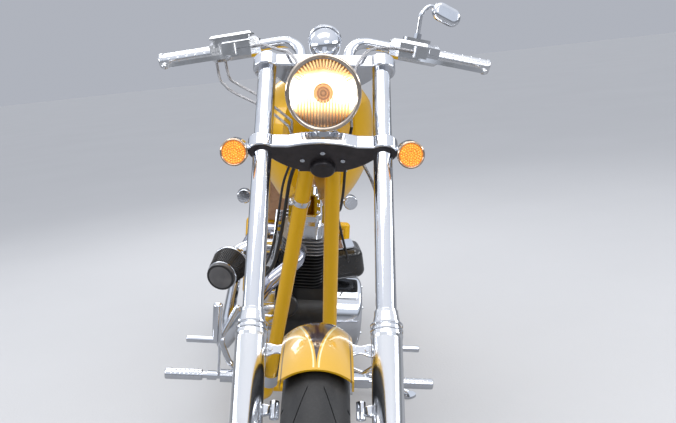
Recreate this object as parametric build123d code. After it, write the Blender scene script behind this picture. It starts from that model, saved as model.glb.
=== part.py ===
from build123d import *
import os
from math import asin, atan2, cos, degrees, radians, sin, sqrt, tan

# Long chopper motorcycle, millimetres.
# Every piece is drawn on the upright machine with its steering straight: x forward, y to the rider's left,
# z up, origin on the ground under the rear axle. It is then parked: steered, leaned on its stand and set down.

# Overall layout
wheelbase = 2080.0
rake = 41.0
steering_offset = 50.0
parked_lean = 10.3
parked_steer = -5.0
steering_lock = 28.0

# Wheels and tyres
front_tyre_radius = 350.0
front_axle_z = front_tyre_radius
front_tyre_crown = 52.0
front_bead_radius = 262.0
rear_tyre_radius = 328.0
rear_axle_z = rear_tyre_radius
rear_tyre_crown = 125.0
rear_bead_radius = 226.0
flange_height = 9.0
flange_width = 7.0
spoke_count = 5
disc_radius = 146.0
disc_thickness = 5.0
caliper_angle = 28.0
front_disc_y = 74.0
rear_disc_y = 148.0
front_axle_radius = 12.5
rear_axle_radius = 14.0
axle_bore_radius = 7.0
bearing_clearance = 0.3
front_hub_half = 60.0
rear_hub_half = 110.0

# Fork
fork_spacing = 260.0
tube_radius = 20.5
leg_radius = 30.0
axle_boss_radius = 33.0
leg_bottom = -42.0
collar_bottom = 365.0
leg_top = 420.0
lower_clamp_bottom = 789.0
clamp_thickness = 34.0
upper_clamp_bottom = 1014.0
clamp_bow = 14.0
upper_clamp_bow = -6.0
tube_top = 1048.2
neck_radius = 32.0
stem_radius = 15.0
neck_bottom = 830.0
neck_top = 1008.0

# Frame tubes
backbone_radius = 25.0
backbone_bends = [200.0, 90.0, 90.0]
seat_clearance = 0.4
frame_tube_radius = 19.0
swingarm_tube_radius = 16.0
downtube_foot = (1086.0, 91.0, 190.0)
rail_z = 140.0
rail_half_width = 112.0
seat_post_x = 430.0
seat_post_foot = 243.0
cross_tube_radius = 14.0
pivot_x = 385.0
pivot_z = 300.0
pivot_tube_radius = 19.0
crown_x = 318.0
crown_z = 548.0
swingarm_y = 180.0
axle_plate_half = 17.0

# Engine
crank_x = 790.0
crank_z = 355.0
cylinder_angle = 22.5
crankcase_radius = 116.0
crankcase_half = 80.0
barrel_bottom = 140.0
barrel_top = 262.0
head_top = 325.0
rocker_top = 405.0
port_reach = 78.0
port_y = -20.0
port_drop = 36.0
intake_z = 632.0
fin_size = 136.0
fin_thickness = 3.5
barrel_fins = 10
head_fins = 5
primary_inner_y = 112.0
primary_outer_y = 197.0
primary_front_radius = 114.0
clutch_x = 545.0
clutch_z = 340.0
clutch_radius = 100.0
belt_y = -145.0
belt_width = 28.0
belt_thickness = 5.0
drive_pulley_radius = 52.0
wheel_pulley_radius = 118.0
exhaust_radius = 22.0
exhaust_wall = 2.0

# Air filter, its cap towards the front and outwards
filter_axis = Vector(0.93, -0.27, -0.24).normalized()
filter_cap = Vector(950, -248, 492)
filter_length = 104.0

# Handlebar, its places ahead of and up along the fork
bar_radius = 13.0
grip_radius = 16.5
bar_end_ahead = -92.5
bar_end_y = 393.0
bar_end_up = 1120.6
riser_foot_y = 50.0
bar_bend_y = 64.0
bar_bend_up = 1158.0
grip_length = 118.0
control_length = 122.0

# Lines
throttle_cable_diameter = 6.0
hose_diameter = 7.0

# Lamps, their places ahead of and up along the fork
headlight_ahead = 91.0
headlight_up = 880.4
headlight_radius = 80.0
speedometer_radius = 36.0
signal_radius = 28.5
signal_ahead = 16.3
signal_out = 57.0
signal_up = 780.9

# Fenders, tank and seat
front_fender_radius = front_tyre_radius + 14
front_fender_half = 57.0
rear_fender_radius = rear_tyre_radius + 46
rear_fender_half = 142.0
sheet_wall = 3.0
tank_tail_x = 690.0
tank_nose_x = 1296.0
seat_half = 130.0
seat_nose_half = 84.0
tunnel_half = backbone_radius + 0.4

# Side stand, in the upright machine's frame
stand_pivot = (700.0, 160.0, 134.0)
stand_foot_ahead = 95.0
stand_foot_out = 215.0
stand_foot_radius = 26.0
stand_foot_thickness = 8.0
stand_leg_radius = 10.0
stand_knuckle_radius = 15.0
stand_knuckle_height = 24.0
stand_ear = 6.0
stand_pin_radius = 5.0
stand_swing = 95.0

fork_frame = Location((wheelbase, 0, front_axle_z), (0, -rake, 0))
steering_turn = (
    fork_frame
    * Pos(-steering_offset, 0, 0)
    * Rot(0, 0, parked_steer)
    * Pos(steering_offset, 0, 0)
    * fork_frame.inverse()
)
front_wheel_place = Pos(wheelbase, 0, front_axle_z)
rear_wheel_place = Pos(0, 0, rear_axle_z)


def moved_point(place, point):
    return (place * Pos(*point)).position


def fork_point(ahead, y, up):
    return moved_point(fork_frame, (ahead, y, up))


def lowest_of_tyre(place, centre, outer, crown):
    hub = moved_point(place, centre)
    beside = moved_point(place, (centre[0], centre[1] + 1, centre[2]))
    across = beside - hub
    return hub.Z - (outer - crown) * sqrt(1 - across.Z**2) - crown


def standing_place():
    # Lean, then a small nod that brings both tyres to the same height, then the lift onto the ground
    leaned = Rot(-parked_lean, 0, 0)
    front_centre = (wheelbase, 0, front_axle_z)
    rear_centre = (0, 0, rear_axle_z)
    nod = 0.0
    for _ in range(4):
        place = Rot(0, nod, 0) * leaned
        front_low = lowest_of_tyre(place * steering_turn, front_centre, front_tyre_radius, front_tyre_crown)
        rear_low = lowest_of_tyre(place, rear_centre, rear_tyre_radius, rear_tyre_crown)
        nod += degrees(asin((front_low - rear_low) / wheelbase))
    return Pos(0, 0, -rear_low) * place


standing = standing_place()


def rod(start, end, radius):
    start, end = Vector(*start), Vector(*end)
    return Solid.make_cylinder(radius, (end - start).length, Plane(origin=start, z_dir=end - start))


def cone(start, end, start_radius, end_radius):
    start, end = Vector(*start), Vector(*end)
    plane = Plane(origin=start, z_dir=end - start)
    return Solid.make_cone(start_radius, end_radius, (end - start).length, plane)


def bent_tube(points, bend_radii, radius, wall=0.0):
    path = FilletPolyline(*points, radius=bend_radii) if bend_radii else Line(*points)
    section = Circle(radius) - Circle(radius - wall) if wall else Circle(radius)
    return sweep(Plane(origin=path @ 0, z_dir=path % 0) * section, path=path)


def cable(points, diameter):
    # Each bend is as large as its two runs allow
    route = [Vector(*point) for point in points]
    radii = []
    for before, corner, after in zip(route, route[1:], route[2:]):
        run_in, run_out = corner - before, after - corner
        turn = run_in.get_angle(run_out)
        radii.append(0.45 * min(run_in.length, run_out.length) / tan(radians(turn / 2)))
    print("cable bends", [round(bend) for bend in radii])
    return bent_tube(route, radii, diameter / 2)


def across(shape, y=0.0):
    # A sketch drawn with x forward and y up, laid in the plane of the wheels and extruded towards the left
    return Pos(0, y, 0) * Rot(90, 0, 0) * shape


def plate(sketch, y_from, y_to):
    return across(extrude(sketch, -(y_to - y_from)), y_from)


def mirrored(shape):
    return mirror(shape, about=Plane.XZ)


def both_sides(shape):
    return [shape, mirrored(shape)]


def turned(section, arc=360.0):
    # A section drawn with x along the axle and y outwards, turned about the axle
    return revolve(Plane.YZ * section, axis=Axis.Y, revolution_arc=arc)


def round_loop(first, first_radius, second, second_radius):
    discs = Pos(*first) * Circle(first_radius) + Pos(*second) * Circle(second_radius)
    rings = (Pos(*first) * Circle(first_radius)).edges() + (Pos(*second) * Circle(second_radius)).edges()
    return make_hull(rings) + discs


# Wheels


def tyre(outer, crown, bead):
    lip_y = flange_edge(outer, crown, bead)
    section = Pos(0, outer - crown) * Circle(crown)
    section -= Pos(0, bead / 2) * Rectangle(4 * crown, bead)
    for side in (-1, 1):
        notch = Pos(side * (lip_y + crown), bead) * Rectangle(2 * crown, 2 * (flange_height + 1))
        section -= notch
    return turned(section)


def flange_edge(outer, crown, bead):
    # Where the rim's flange starts, just inside the tyre's wall at the bead
    return sqrt(crown**2 - (bead - outer + crown) ** 2) - 2 * flange_width


def rim_ring(outer, crown, bead):
    lip_y = flange_edge(outer, crown, bead)
    edge = lip_y + flange_width
    inner = bead - 22
    profile = Polyline(
        (-edge, bead + flange_height),
        (-lip_y - 0.5, bead + flange_height),
        (-lip_y - 0.5, bead - 0.3),
        (lip_y + 0.5, bead - 0.3),
        (lip_y + 0.5, bead + flange_height),
        (edge, bead + flange_height),
        (edge - 3, bead - 10),
        (0.55 * edge, inner),
        (-0.55 * edge, inner),
        (-edge + 3, bead - 10),
        close=True,
    )
    return turned(make_face(profile))


def spokes(bead, hub_radius, hub_half, rim_half):
    # Forked spokes: flat outlines cut to a lens that is thick at the hub and thin at the rim
    reach = bead - 18
    outline = Polygon((0, -30), (reach, -40), (reach, 40), (0, 30), align=None)
    window = Polygon((hub_radius + 42, 0), (reach - 4, -19), (reach + 1, 0), (reach - 4, 19), align=None)
    leg_gap = Polygon((hub_radius + 40, -5), (reach + 2, -22), (reach + 2, 22), (hub_radius + 40, 5), align=None)
    one = extrude(Plane.XZ * (outline - window - leg_gap), hub_half, both=True)
    lens_profile = Polyline(
        (-hub_half + 14, 0), (-rim_half, reach), (rim_half, reach), (hub_half - 14, 0), close=True
    )
    lens = turned(make_face(lens_profile))
    blades = [Rot(0, 360 * turn / spoke_count, 0) * one for turn in range(spoke_count)]
    star = blades[0]
    for blade in blades[1:]:
        star += blade
    return star & lens


def wheel(outer, crown, bead, hub_radius, hub_half, bore_radius, rim_half):
    hub = across(extrude(Circle(hub_radius), hub_half, both=True))
    body = rim_ring(outer, crown, bead) + spokes(bead, hub_radius, hub_half, rim_half) + hub
    return body - across(extrude(Circle(bore_radius), 2 * hub_half, both=True))


def brake_disc(y, hub_face):
    hole = Pos(disc_radius - 18, 0) * Circle(5)
    face = Circle(disc_radius) - Circle(62)
    carrier = Circle(64) - Circle(30)
    for turn in range(12):
        face -= Rot(0, 0, 30 * turn) * hole
        carrier -= Rot(0, 0, 30 * turn) * Pos(49, 0) * Circle(6)
    half = disc_thickness / 2
    sleeve = plate(Circle(38) - Circle(27), hub_face + 0.2, y)
    return plate(face + carrier, y - half, y + half) + sleeve


def drive_pulley():
    inner_y = belt_y + belt_width / 2 + 2
    outer_y = belt_y - belt_width / 2 + 1
    web = Circle(wheel_pulley_radius) - Circle(rear_axle_radius + bearing_clearance)
    for turn in range(6):
        web -= Rot(0, 0, 60 * turn) * Pos(74, 0) * Circle(22)
    ring = Circle(wheel_pulley_radius) - Circle(wheel_pulley_radius - 14)
    guard = Circle(wheel_pulley_radius + 7) - Circle(wheel_pulley_radius - 14)
    body = plate(web, belt_y - 7, belt_y + 7) + plate(ring, outer_y, inner_y)
    hub = Circle(45) - Circle(20)
    return body + plate(guard, inner_y, inner_y + 3) + plate(hub, belt_y, -rear_hub_half - 0.2)


# Steering


def clamp(bottom, front_bow):
    half = fork_spacing / 2
    shape = Pos(0, 0) * Rectangle(48, fork_spacing)
    shape += Pos(-steering_offset + 8, 0) * Rectangle(60, 110)
    for side in (-1, 1):
        shape += Pos(0, side * half) * Circle(tube_radius + 12)
    bow = ThreePointArc((0, -half + 12), (24 + front_bow, 0), (0, half - 12))
    shape += make_face(bow + Line(bow @ 1, bow @ 0))
    rear = ThreePointArc((-10, -half + 8), (-steering_offset - 26, 0), (-10, half - 8))
    shape += make_face(rear + Line(rear @ 1, rear @ 0))
    body = extrude(shape, clamp_thickness)
    body = fillet(body.edges().filter_by(Plane.XY), 5)
    for side in (-1, 1):
        body -= Pos(0, side * half, -1) * extrude(Circle(tube_radius), clamp_thickness + 2)
    body -= Pos(-steering_offset, 0, -1) * extrude(Circle(stem_radius), clamp_thickness + 2)
    return fork_frame * Pos(0, 0, bottom) * body


def stem():
    low = lower_clamp_bottom
    top = upper_clamp_bottom + clamp_thickness
    post = Pos(0, 0, low - 6) * extrude(Circle(stem_radius), top - low + 12)
    nut = Pos(0, 0, top) * extrude(RegularPolygon(19, 6), 11)
    foot = Pos(0, 0, low - 14) * extrude(Circle(28), 14)
    foot = fillet(foot.edges().sort_by(Axis.Z)[0], 8)
    return fork_frame * Pos(-steering_offset, 0, 0) * (post + nut + foot)


def fork_tube():
    cap = extrude(Circle(tube_radius + 2), 15)
    cap = fillet(cap.edges().sort_by(Axis.Z)[-1], 13)
    tube = Pos(0, 0, leg_top) * extrude(Circle(tube_radius), tube_top - leg_top) + Pos(0, 0, tube_top) * cap
    return fork_frame * Pos(0, fork_spacing / 2, 0) * tube


def fork_leg():
    # Slider with its flared collar and the boss that holds the axle
    profile = Polyline(
        (0, leg_bottom),
        (leg_radius - 5, leg_bottom),
        (leg_radius, leg_bottom + 8),
        (leg_radius, collar_bottom - 6),
        (leg_radius + 1.5, collar_bottom),
        (tube_radius + 3, leg_top - 8),
        (tube_radius + 3, leg_top - 2),
        (tube_radius, leg_top),
        (0, leg_top),
        close=True,
    )
    leg = revolve(Plane.XZ * make_face(profile), axis=Axis.Z)
    boss = Rot(90, 0, 0) * extrude(Circle(axle_boss_radius), leg_radius, both=True)
    leg += boss
    leg -= Rot(90, 0, 0) * extrude(Circle(front_axle_radius), 2 * leg_radius, both=True)
    return fork_frame * Pos(0, fork_spacing / 2, 0) * leg


def front_axle():
    half = fork_spacing / 2 + leg_radius + 8
    bar = across(extrude(Circle(front_axle_radius), half, both=True))
    spacer = plate(Circle(20), front_hub_half + 1, fork_spacing / 2 - leg_radius - 0.2)
    nut = plate(RegularPolygon(19, 6), half - 8, half)
    body = bar
    for piece in both_sides(spacer) + both_sides(nut):
        body += piece
    body -= across(extrude(Circle(axle_bore_radius), 2 * half, both=True))
    return front_wheel_place * body


def fender_section(half, top, shoulder, skirt):
    wall = sheet_wall
    edges = Curve() + [
        Line((-half, skirt), (-half, shoulder)),
        ThreePointArc((-half, shoulder), (0, top), (half, shoulder)),
        Line((half, shoulder), (half, skirt)),
        Line((half, skirt), (half - wall, skirt)),
        Line((half - wall, skirt), (half - wall, shoulder - wall)),
        ThreePointArc((half - wall, shoulder - wall), (0, top - wall), (-half + wall, shoulder - wall)),
        Line((-half + wall, shoulder - wall), (-half + wall, skirt)),
        Line((-half + wall, skirt), (-half, skirt)),
    ]
    return make_face(edges)


def front_fender():
    # Turned from 18 degrees ahead of the top to 100 degrees behind it
    section = fender_section(front_fender_half, front_fender_radius, front_fender_radius - 24, 322)
    shell = turned(section, 118)
    return front_wheel_place * Rot(0, 18 - 118, 0) * shell


def rear_fender():
    section = fender_section(rear_fender_half, rear_fender_radius, rear_fender_radius - 44, 290)
    shell = rear_wheel_place * Rot(0, 46 - 146, 0) * turned(section, 146)
    # A flat strut on each side, with a spacer that bolts to the swingarm's crown
    strut = Polygon((284, 500), (296, 524), (-40, 642), (-40, 618), align=None)
    bar = plate(strut, rear_fender_half, rear_fender_half + 8)
    spacer = rod((270, rear_fender_half + 8, 515), (270, swingarm_y - swingarm_tube_radius - 0.3, 515), 9)
    side = bar + spacer
    return shell + side + mirrored(side)


def fender_brackets():
    # A strap from each leg's inner face to the fender's skirt, and a drilled lug lower on the leg
    inner = fork_spacing / 2 - leg_radius
    strap = Rectangle(8, 46, align=(Align.CENTER, Align.MIN))
    lug = Rectangle(14, 34, align=(Align.CENTER, Align.MIN))
    pieces = []
    for section, up, reach in ((strap, 314, inner - front_fender_half - 0.9), (lug, 202, 22)):
        placed = fork_frame * Pos(0, inner - 0.6, up) * Rot(90, 0, 0) * extrude(section, reach)
        pieces += both_sides(placed)
    return pieces


def bar_bend():
    return fork_point(-steering_offset, bar_bend_y, bar_bend_up)


def bar_end():
    return fork_point(bar_end_ahead, bar_end_y, bar_end_up)


def handlebar():
    foot = fork_point(-steering_offset, riser_foot_y, upper_clamp_bottom + clamp_thickness + 6)
    tube = bent_tube([foot, bar_bend(), bar_end()], [46], bar_radius)
    flange = fork_frame * Pos(-steering_offset, riser_foot_y, upper_clamp_bottom + clamp_thickness)
    collar = flange * extrude(Circle(bar_radius + 6), 12)
    return both_sides(tube + collar)


def bar_frame():
    # At the bar's left end: x forward, y downwards, z outwards along the bar
    return Location(Plane(origin=bar_end(), x_dir=(1, 0, 0), z_dir=bar_end() - bar_bend()))


def grips():
    body = extrude(Circle(grip_radius) - Circle(bar_radius + 0.2), -grip_length)
    cap = extrude(Circle(grip_radius + 1.5), 10)
    cap = fillet(cap.edges().sort_by(Axis.Z)[-1], 5)
    grip = bar_frame() * (body + Pos(0, 0, 0.2) * cap)
    return both_sides(grip)


def lever():
    # Blade drawn from above, x forward and y outwards along the bar, with a ball at its tip
    front = ThreePointArc((56, -166), (78, -100), (62, -14))
    back = ThreePointArc((50, -14), (63, -100), (40, -160))
    outline = front + Line(front @ 1, back @ 0) + back + Line(back @ 1, front @ 0)
    blade = Rot(90, 0, 0) * extrude(make_face(outline), 5, both=True)
    return Pos(0, 14, 0) * (blade + Pos(56, 0, -12) * Sphere(8))


def hand_control(with_reservoir):
    # Angular housing that clamps the bar inboard of the grip, with its lever and the fluid reservoir
    outer = -grip_length - 1.0
    inner = outer - control_length
    inner_edge = [(-25, inner + 10), (-16, inner), (22, inner), (38, inner + 22)]
    outer_edge = [(38, outer - 34), (20, outer), (-18, outer), (-25, outer - 12)]
    plan = Polygon(*inner_edge, *outer_edge, align=None)
    housing = Rot(90, 0, 0) * extrude(plan, 24, both=True)
    housing = chamfer(housing.faces().sort_by(Axis.Y)[0].edges(), 7)
    housing = chamfer(housing.faces().sort_by(Axis.Y)[-1].edges(), 7)
    seam = Pos(0, 0, (inner + outer) / 2) * Box(120, 1.2, 2 * control_length)
    seam -= Pos(0, 0, (inner + outer) / 2) * Box(40, 3, 160)
    perch = Pos(46, 0, -168) * Rot(90, 0, 0) * extrude(RectangleRounded(34, 40, 9), 13, both=True)
    body = housing - seam + perch + lever()
    if with_reservoir:
        bowl = Pos(8, -20, (inner + outer) / 2 + 4) * Box(48, 20, 92)
        lid = Pos(8, -33, (inner + outer) / 2 + 4) * Box(56, 8, 102)
        body += fillet(bowl.edges().filter_by(Axis.Y), 8)
        body += chamfer(lid.faces().sort_by(Axis.Y)[0].edges(), 5)
    else:
        mound = Pos(0, -26, -178) * Box(34, 14, 66)
        body += fillet(mound.edges().filter_by(Axis.Y), 10)
    body -= Pos(0, 0, inner - 20) * extrude(Circle(bar_radius + 0.2), control_length + 60)
    return bar_frame() * body


def mirror_arm():
    # Stem that rises from the left control, curves outwards and carries the oval head
    base = moved_point(bar_frame(), (0, -36, -178))
    route = [base, base + Vector(8, 6, 54), base + Vector(-2, 27, 76), base + Vector(-10, 50, 66)]
    arm = bent_tube(route, [20, 18], 5)
    foot = bar_frame() * Pos(0, -33.2, -178) * Rot(90, 0, 0) * extrude(Circle(9), 12)
    shell = extrude(RectangleRounded(44, 74, 21), 15)
    shell = fillet(shell.faces().sort_by(Axis.Z)[-1].edges(), 11)
    head = Pos(*(base + Vector(-12, 68, 54))) * Rot(0, 0, 12) * Rot(-24, 0, 0) * Rot(0, 78, 0) * shell
    return arm + foot + head


def headlight_shell():
    # Bucket turned about its own axis, with the bezel as a separate thick lip
    r = headlight_radius
    profile = Polyline(
        (0, -108), (30, -104), (56, -84), (r - 7, -38), (r - 5, -8), (r, -6), (r, 12), (r - 4, 16),
        (r - 9, 16), (r - 9, -4), (0, -4), close=True,
    )
    centre = headlight_centre()
    shell = Pos(*centre) * Rot(0, 90, 0) * revolve(Plane.XZ * make_face(profile), axis=Axis.Z)
    foot = fork_point(26, 0, lower_clamp_bottom + clamp_thickness)
    post = rod((foot.X, 0, foot.Z - 20), (foot.X, 0, centre.Z - r + 6), 15)
    collar = rod((foot.X, 0, foot.Z - 8), (foot.X, 0, foot.Z + 5), 21)
    return shell + (post + collar - clamp(lower_clamp_bottom, clamp_bow))


def headlight_centre():
    return fork_point(headlight_ahead, 0, headlight_up)


def headlight_lens():
    # A shallow dome that stands 13 mm proud of its rim
    r = headlight_radius - 9.4
    rise = 13
    dome_radius = (r**2 + rise**2) / (2 * rise)
    rim = extrude(Circle(r), 10.6)
    dome = Pos(0, 0, 10.6 + rise - dome_radius) * Sphere(dome_radius)
    dome = dome & Pos(0, 0, 10.6) * extrude(Circle(r), 40)
    lens = Pos(0, 0, -3.6) * (rim + dome)
    return Pos(*headlight_centre()) * Rot(0, 90, 0) * lens


def speedometer():
    # Bullet housing with its round back ahead and its dial towards the rider, on a short post
    bottom = upper_clamp_bottom + clamp_thickness
    centre = fork_point(6, 0, bottom + speedometer_radius + 4)
    shell = Sphere(speedometer_radius) + extrude(Circle(speedometer_radius), 26)
    bezel = Pos(0, 0, 20) * extrude(Circle(speedometer_radius + 3) - Circle(speedometer_radius - 4), 10)
    post = rod(fork_point(6, 0, bottom), centre, 12)
    return post + Pos(*centre) * Rot(0, -62, 0) * (shell + fillet(bezel.edges(), 1.5))


def signal(x, y, z, stub_to):
    lens = Pos(x, y, z) * Rot(0, 90, 0) * extrude(Circle(signal_radius), 22, both=True)
    lens = fillet(lens.edges(), 4)
    return lens + rod((x, y, z), stub_to, 8)


def front_signals():
    root = fork_point(0, fork_spacing / 2 + tube_radius, lower_clamp_bottom + clamp_thickness / 2)
    place = fork_point(signal_ahead, fork_spacing / 2 + signal_out, signal_up)
    lamp = signal(place.X, place.Y, place.Z, root) - clamp(lower_clamp_bottom, clamp_bow)
    return both_sides(lamp - rod(root, fork_point(0, fork_spacing / 2, 806), tube_radius))


def rear_signals():
    return both_sides(signal(60, 216, 600, (60, rear_fender_half + 9, 607)))


def caliper_body():
    # Straddles the disc's edge, drawn about the axle with the disc's middle at y = 0, pointing backwards
    body = chamfer(Box(58, 44, 96).edges().filter_by(Axis.Y), 12)
    gap = Rot(90, 0, 0) * extrude(Circle(disc_radius + 3), disc_thickness / 2 + 2, both=True)
    return Pos(-disc_radius + 4, 0, 0) * body - gap


def rear_caliper():
    arm = Pos(0, 60) * RectangleRounded(52, 170, 20) - Circle(22.3)
    bracket = plate(arm, disc_thickness / 2 + 2, disc_thickness / 2 + 10)
    around_axle = Rot(0, 90, 0) * caliper_body()
    return rear_wheel_place * Pos(0, rear_disc_y, 0) * Rot(0, -10, 0) * (around_axle + bracket)


def front_caliper():
    # Behind the left leg, on a flat lug along the leg's inner face
    around_axle = Rot(0, caliper_angle, 0) * caliper_body()
    reach = fork_spacing / 2 - leg_radius - 0.3 - front_disc_y
    lug = Pos(-54, reach - 4, 68) * Box(128, 8, 40)
    return fork_frame * Pos(0, front_disc_y, 0) * (around_axle + lug)


# Frame


def backbone_route():
    neck_mid = fork_point(-steering_offset, 0, 965)
    return [neck_mid, (700, 0, 818), (560, 0, 762), (seat_post_x, 0, 545), (seat_post_x, 0, seat_post_foot)]


def frame_backbone():
    tube = bent_tube(backbone_route(), backbone_bends, backbone_radius)
    neck = extrude(Circle(neck_radius), neck_top - neck_bottom)
    placed = fork_frame * Pos(-steering_offset, 0, neck_bottom) * neck
    bore = extrude(Circle(stem_radius + bearing_clearance), 200)
    bore = fork_frame * Pos(-steering_offset, 0, neck_bottom - 1) * bore
    return tube + placed - bore


def downtube_head():
    return fork_point(-steering_offset - 4, 23, 866)


def frame_downtubes():
    rail_start = (960, rail_half_width, rail_z)
    lower_bend = (1000, rail_half_width, rail_z)
    tube = bent_tube([downtube_head(), downtube_foot, lower_bend, rail_start], [70, 40], frame_tube_radius)
    neck = fork_frame * Pos(-steering_offset, 0, neck_bottom - 2) * extrude(Circle(neck_radius + 0.2), 190)
    return [side - neck for side in both_sides(tube)]


def frame_rails():
    rail = bent_tube(
        [(959.6, rail_half_width, rail_z), (500, rail_half_width, rail_z), (402, rail_half_width, 259)],
        [80],
        frame_tube_radius,
    )
    frame = rail + mirrored(rail)
    cross_tubes = [(x, rail_z) for x in (930, 860, 720, 560)] + [(seat_post_x, seat_post_foot - cross_tube_radius)]
    for x, z in cross_tubes:
        frame += rod((x, -rail_half_width, z), (x, rail_half_width, z), cross_tube_radius)
    pivot_ring = Pos(pivot_x, pivot_z) * (Circle(32) - Circle(pivot_tube_radius + bearing_clearance))
    pivot_plate = plate(pivot_ring, rail_half_width - 14, rail_half_width + 14)
    frame += pivot_plate
    frame += mirrored(pivot_plate)
    return frame + stand_bracket()


def stand_bracket():
    # Two ears above and below the stand's knuckle, on a web that reaches the rail, with the pin between them
    reach = stand_pivot[1] - rail_half_width - 6
    ear = Pos(reach / 2, 0) * Rectangle(reach, 26) + Circle(stand_knuckle_radius)
    offset = stand_knuckle_height / 2 + 0.4
    upper = Pos(0, 0, offset) * extrude(ear, stand_ear)
    lower = Pos(0, 0, -offset - stand_ear) * extrude(ear, stand_ear)
    web = Pos(reach, 0, 0) * Box(12, 26, 2 * (offset + stand_ear))
    pin = extrude(Circle(stand_pin_radius), offset + 1, both=True)
    return stand_hinge_place() * (upper + lower + web + pin)


def stand_hinge_place():
    return Location(Plane(origin=stand_pivot, x_dir=(0, -1, 0), z_dir=stand_axis()))


def swingarm():
    pivot = (pivot_x, swingarm_y, pivot_z)
    crown = (crown_x, swingarm_y, crown_z)
    axle = (0, swingarm_y, rear_axle_z)
    arm = rod(pivot, axle, swingarm_tube_radius) + rod(axle, crown, swingarm_tube_radius)
    arm += rod(pivot, crown, swingarm_tube_radius)
    arm += plate(Pos(0, rear_axle_z) * Circle(34), swingarm_y - axle_plate_half, swingarm_y + axle_plate_half)
    for joint in (pivot, crown):
        arm += Pos(*joint) * Sphere(swingarm_tube_radius)
    arms = arm + mirrored(arm)
    arms += rod((pivot_x, -swingarm_y, pivot_z), pivot, pivot_tube_radius)
    arms += rod((crown_x, -swingarm_y, crown_z), crown, swingarm_tube_radius)
    hole = rod((0, -2 * swingarm_y, rear_axle_z), (0, 2 * swingarm_y, rear_axle_z), rear_axle_radius)
    return arms - hole


def rear_axle():
    half = swingarm_y + axle_plate_half + 12
    bar = across(extrude(Circle(rear_axle_radius), half, both=True))
    nut = plate(RegularPolygon(21, 6), swingarm_y + axle_plate_half + 0.2, half)
    left_spacer = plate(Circle(22), rear_disc_y + 3, swingarm_y - axle_plate_half - 0.2)
    right_spacer = plate(Circle(22), -swingarm_y + axle_plate_half + 0.2, belt_y - belt_width / 2)
    body = bar + left_spacer + right_spacer
    for piece in both_sides(nut):
        body += piece
    body -= across(extrude(Circle(axle_bore_radius), 2 * half, both=True))
    return rear_wheel_place * body


# Engine


def cylinder_places():
    return [Pos(crank_x, 0, crank_z) * Rot(0, angle, 0) for angle in (cylinder_angle, -cylinder_angle)]


def finned(core_radius, bottom, top, count, size):
    body = Pos(0, 0, bottom) * extrude(Circle(core_radius), top - bottom)
    pitch = (top - bottom - fin_thickness) / count
    fin = extrude(RectangleRounded(size, size, 38), fin_thickness)
    for step in range(count):
        body += Pos(0, 0, bottom + pitch * (step + 0.5)) * fin
    return body


def barrels():
    # The lowest fins are cut away where the two barrels lean together
    barrel = finned(52, barrel_bottom, barrel_top, barrel_fins, fin_size)
    pieces = []
    for place, side in zip(cylinder_places(), (1, -1)):
        half_space = Pos(crank_x - side * 249, 0, crank_z) * Box(500, 400, 1000)
        pieces.append(place * barrel - half_space)
    return pieces


def heads():
    head = finned(56, barrel_top, head_top, head_fins, fin_size + 4)
    pieces = []
    for place, side in zip(cylinder_places(), (1, -1)):
        port = Rot(0, 90 * side, 0) * extrude(Circle(exhaust_radius + 4), port_reach)
        pieces.append(place * (head + Pos(0, port_y, head_top - port_drop) * port))
    return pieces


def rocker_covers():
    low = extrude(RectangleRounded(128, 104, 22), 44)
    high = Pos(0, 0, 44) * extrude(RectangleRounded(112, 88, 20), rocker_top - head_top - 44)
    high = fillet(high.faces().sort_by(Axis.Z)[-1].edges(), 9)
    band = Pos(0, 0, 40) * extrude(RectangleRounded(134, 110, 24), 7)
    cover = Pos(0, 0, head_top) * (low + band + high)
    return [place * cover for place in cylinder_places()]


def crankcase():
    profile = Circle(crankcase_radius)
    for side in (1, -1):
        pad = Rot(0, 0, -side * cylinder_angle) * Pos(0, barrel_bottom / 2) * Rectangle(132, barrel_bottom)
        profile += pad - Pos(-side * 200, 0) * Rectangle(400, 800)
    body = Pos(crank_x, 0, crank_z) * across(extrude(profile, crankcase_half, both=True))
    seat_z = rail_z + cross_tube_radius + 0.2
    foot = Pos(crank_x, 0, (seat_z + crank_z - 50) / 2) * Box(190, 130, crank_z - 50 - seat_z)
    return body + foot


def cam_cover():
    profile = Circle(72) + Pos(0, 52) * RectangleRounded(136, 74, 26)
    body = plate(profile, -crankcase_half - 38, -crankcase_half)
    dome = plate(Circle(44), -crankcase_half - 50, -crankcase_half - 38)
    return Pos(crank_x, 0, crank_z) * (fillet((body + dome).faces().sort_by(Axis.Y)[0].edges(), 6))


def pushrod_tubes():
    # Four tubes from the cam cover's top edge up beside the barrels
    cover = cam_cover()
    tubes = []
    for place in cylinder_places():
        for offset in (-17, 17):
            foot = moved_point(place, (0.6 * offset, -crankcase_half - 14, 80))
            top = moved_point(place, (offset, -fin_size / 2 - 12.8, head_top - 2))
            tubes.append(rod(foot, top, 10) - cover)
    return tubes


def carburettor():
    throat = rod((crank_x, -fin_size / 2 - 0.3, 560), (crank_x, -150, 560), 26)
    bowl = Pos(crank_x, -112, 524) * fillet(Box(56, 50, 44).edges().filter_by(Axis.Z), 8)
    mouth = filter_cap - filter_axis * (filter_length + 4.2)
    elbow = bent_tube([(crank_x, -148, 560), mouth - filter_axis * 58, mouth], [32], 28)
    # The intake runs up between the barrels to a tee whose ends meet both heads
    tee = rod((crank_x - 70, port_y, intake_z), (crank_x + 70, port_y, intake_z), 16)
    runner = rod((crank_x, port_y, intake_z), (crank_x, -fin_size / 2 - 24, 568), 17)
    intake = tee + runner
    for piece in heads() + barrels():
        intake -= piece
    return throat + bowl + elbow + intake.solids().sort_by(SortBy.VOLUME)[-1]


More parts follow.
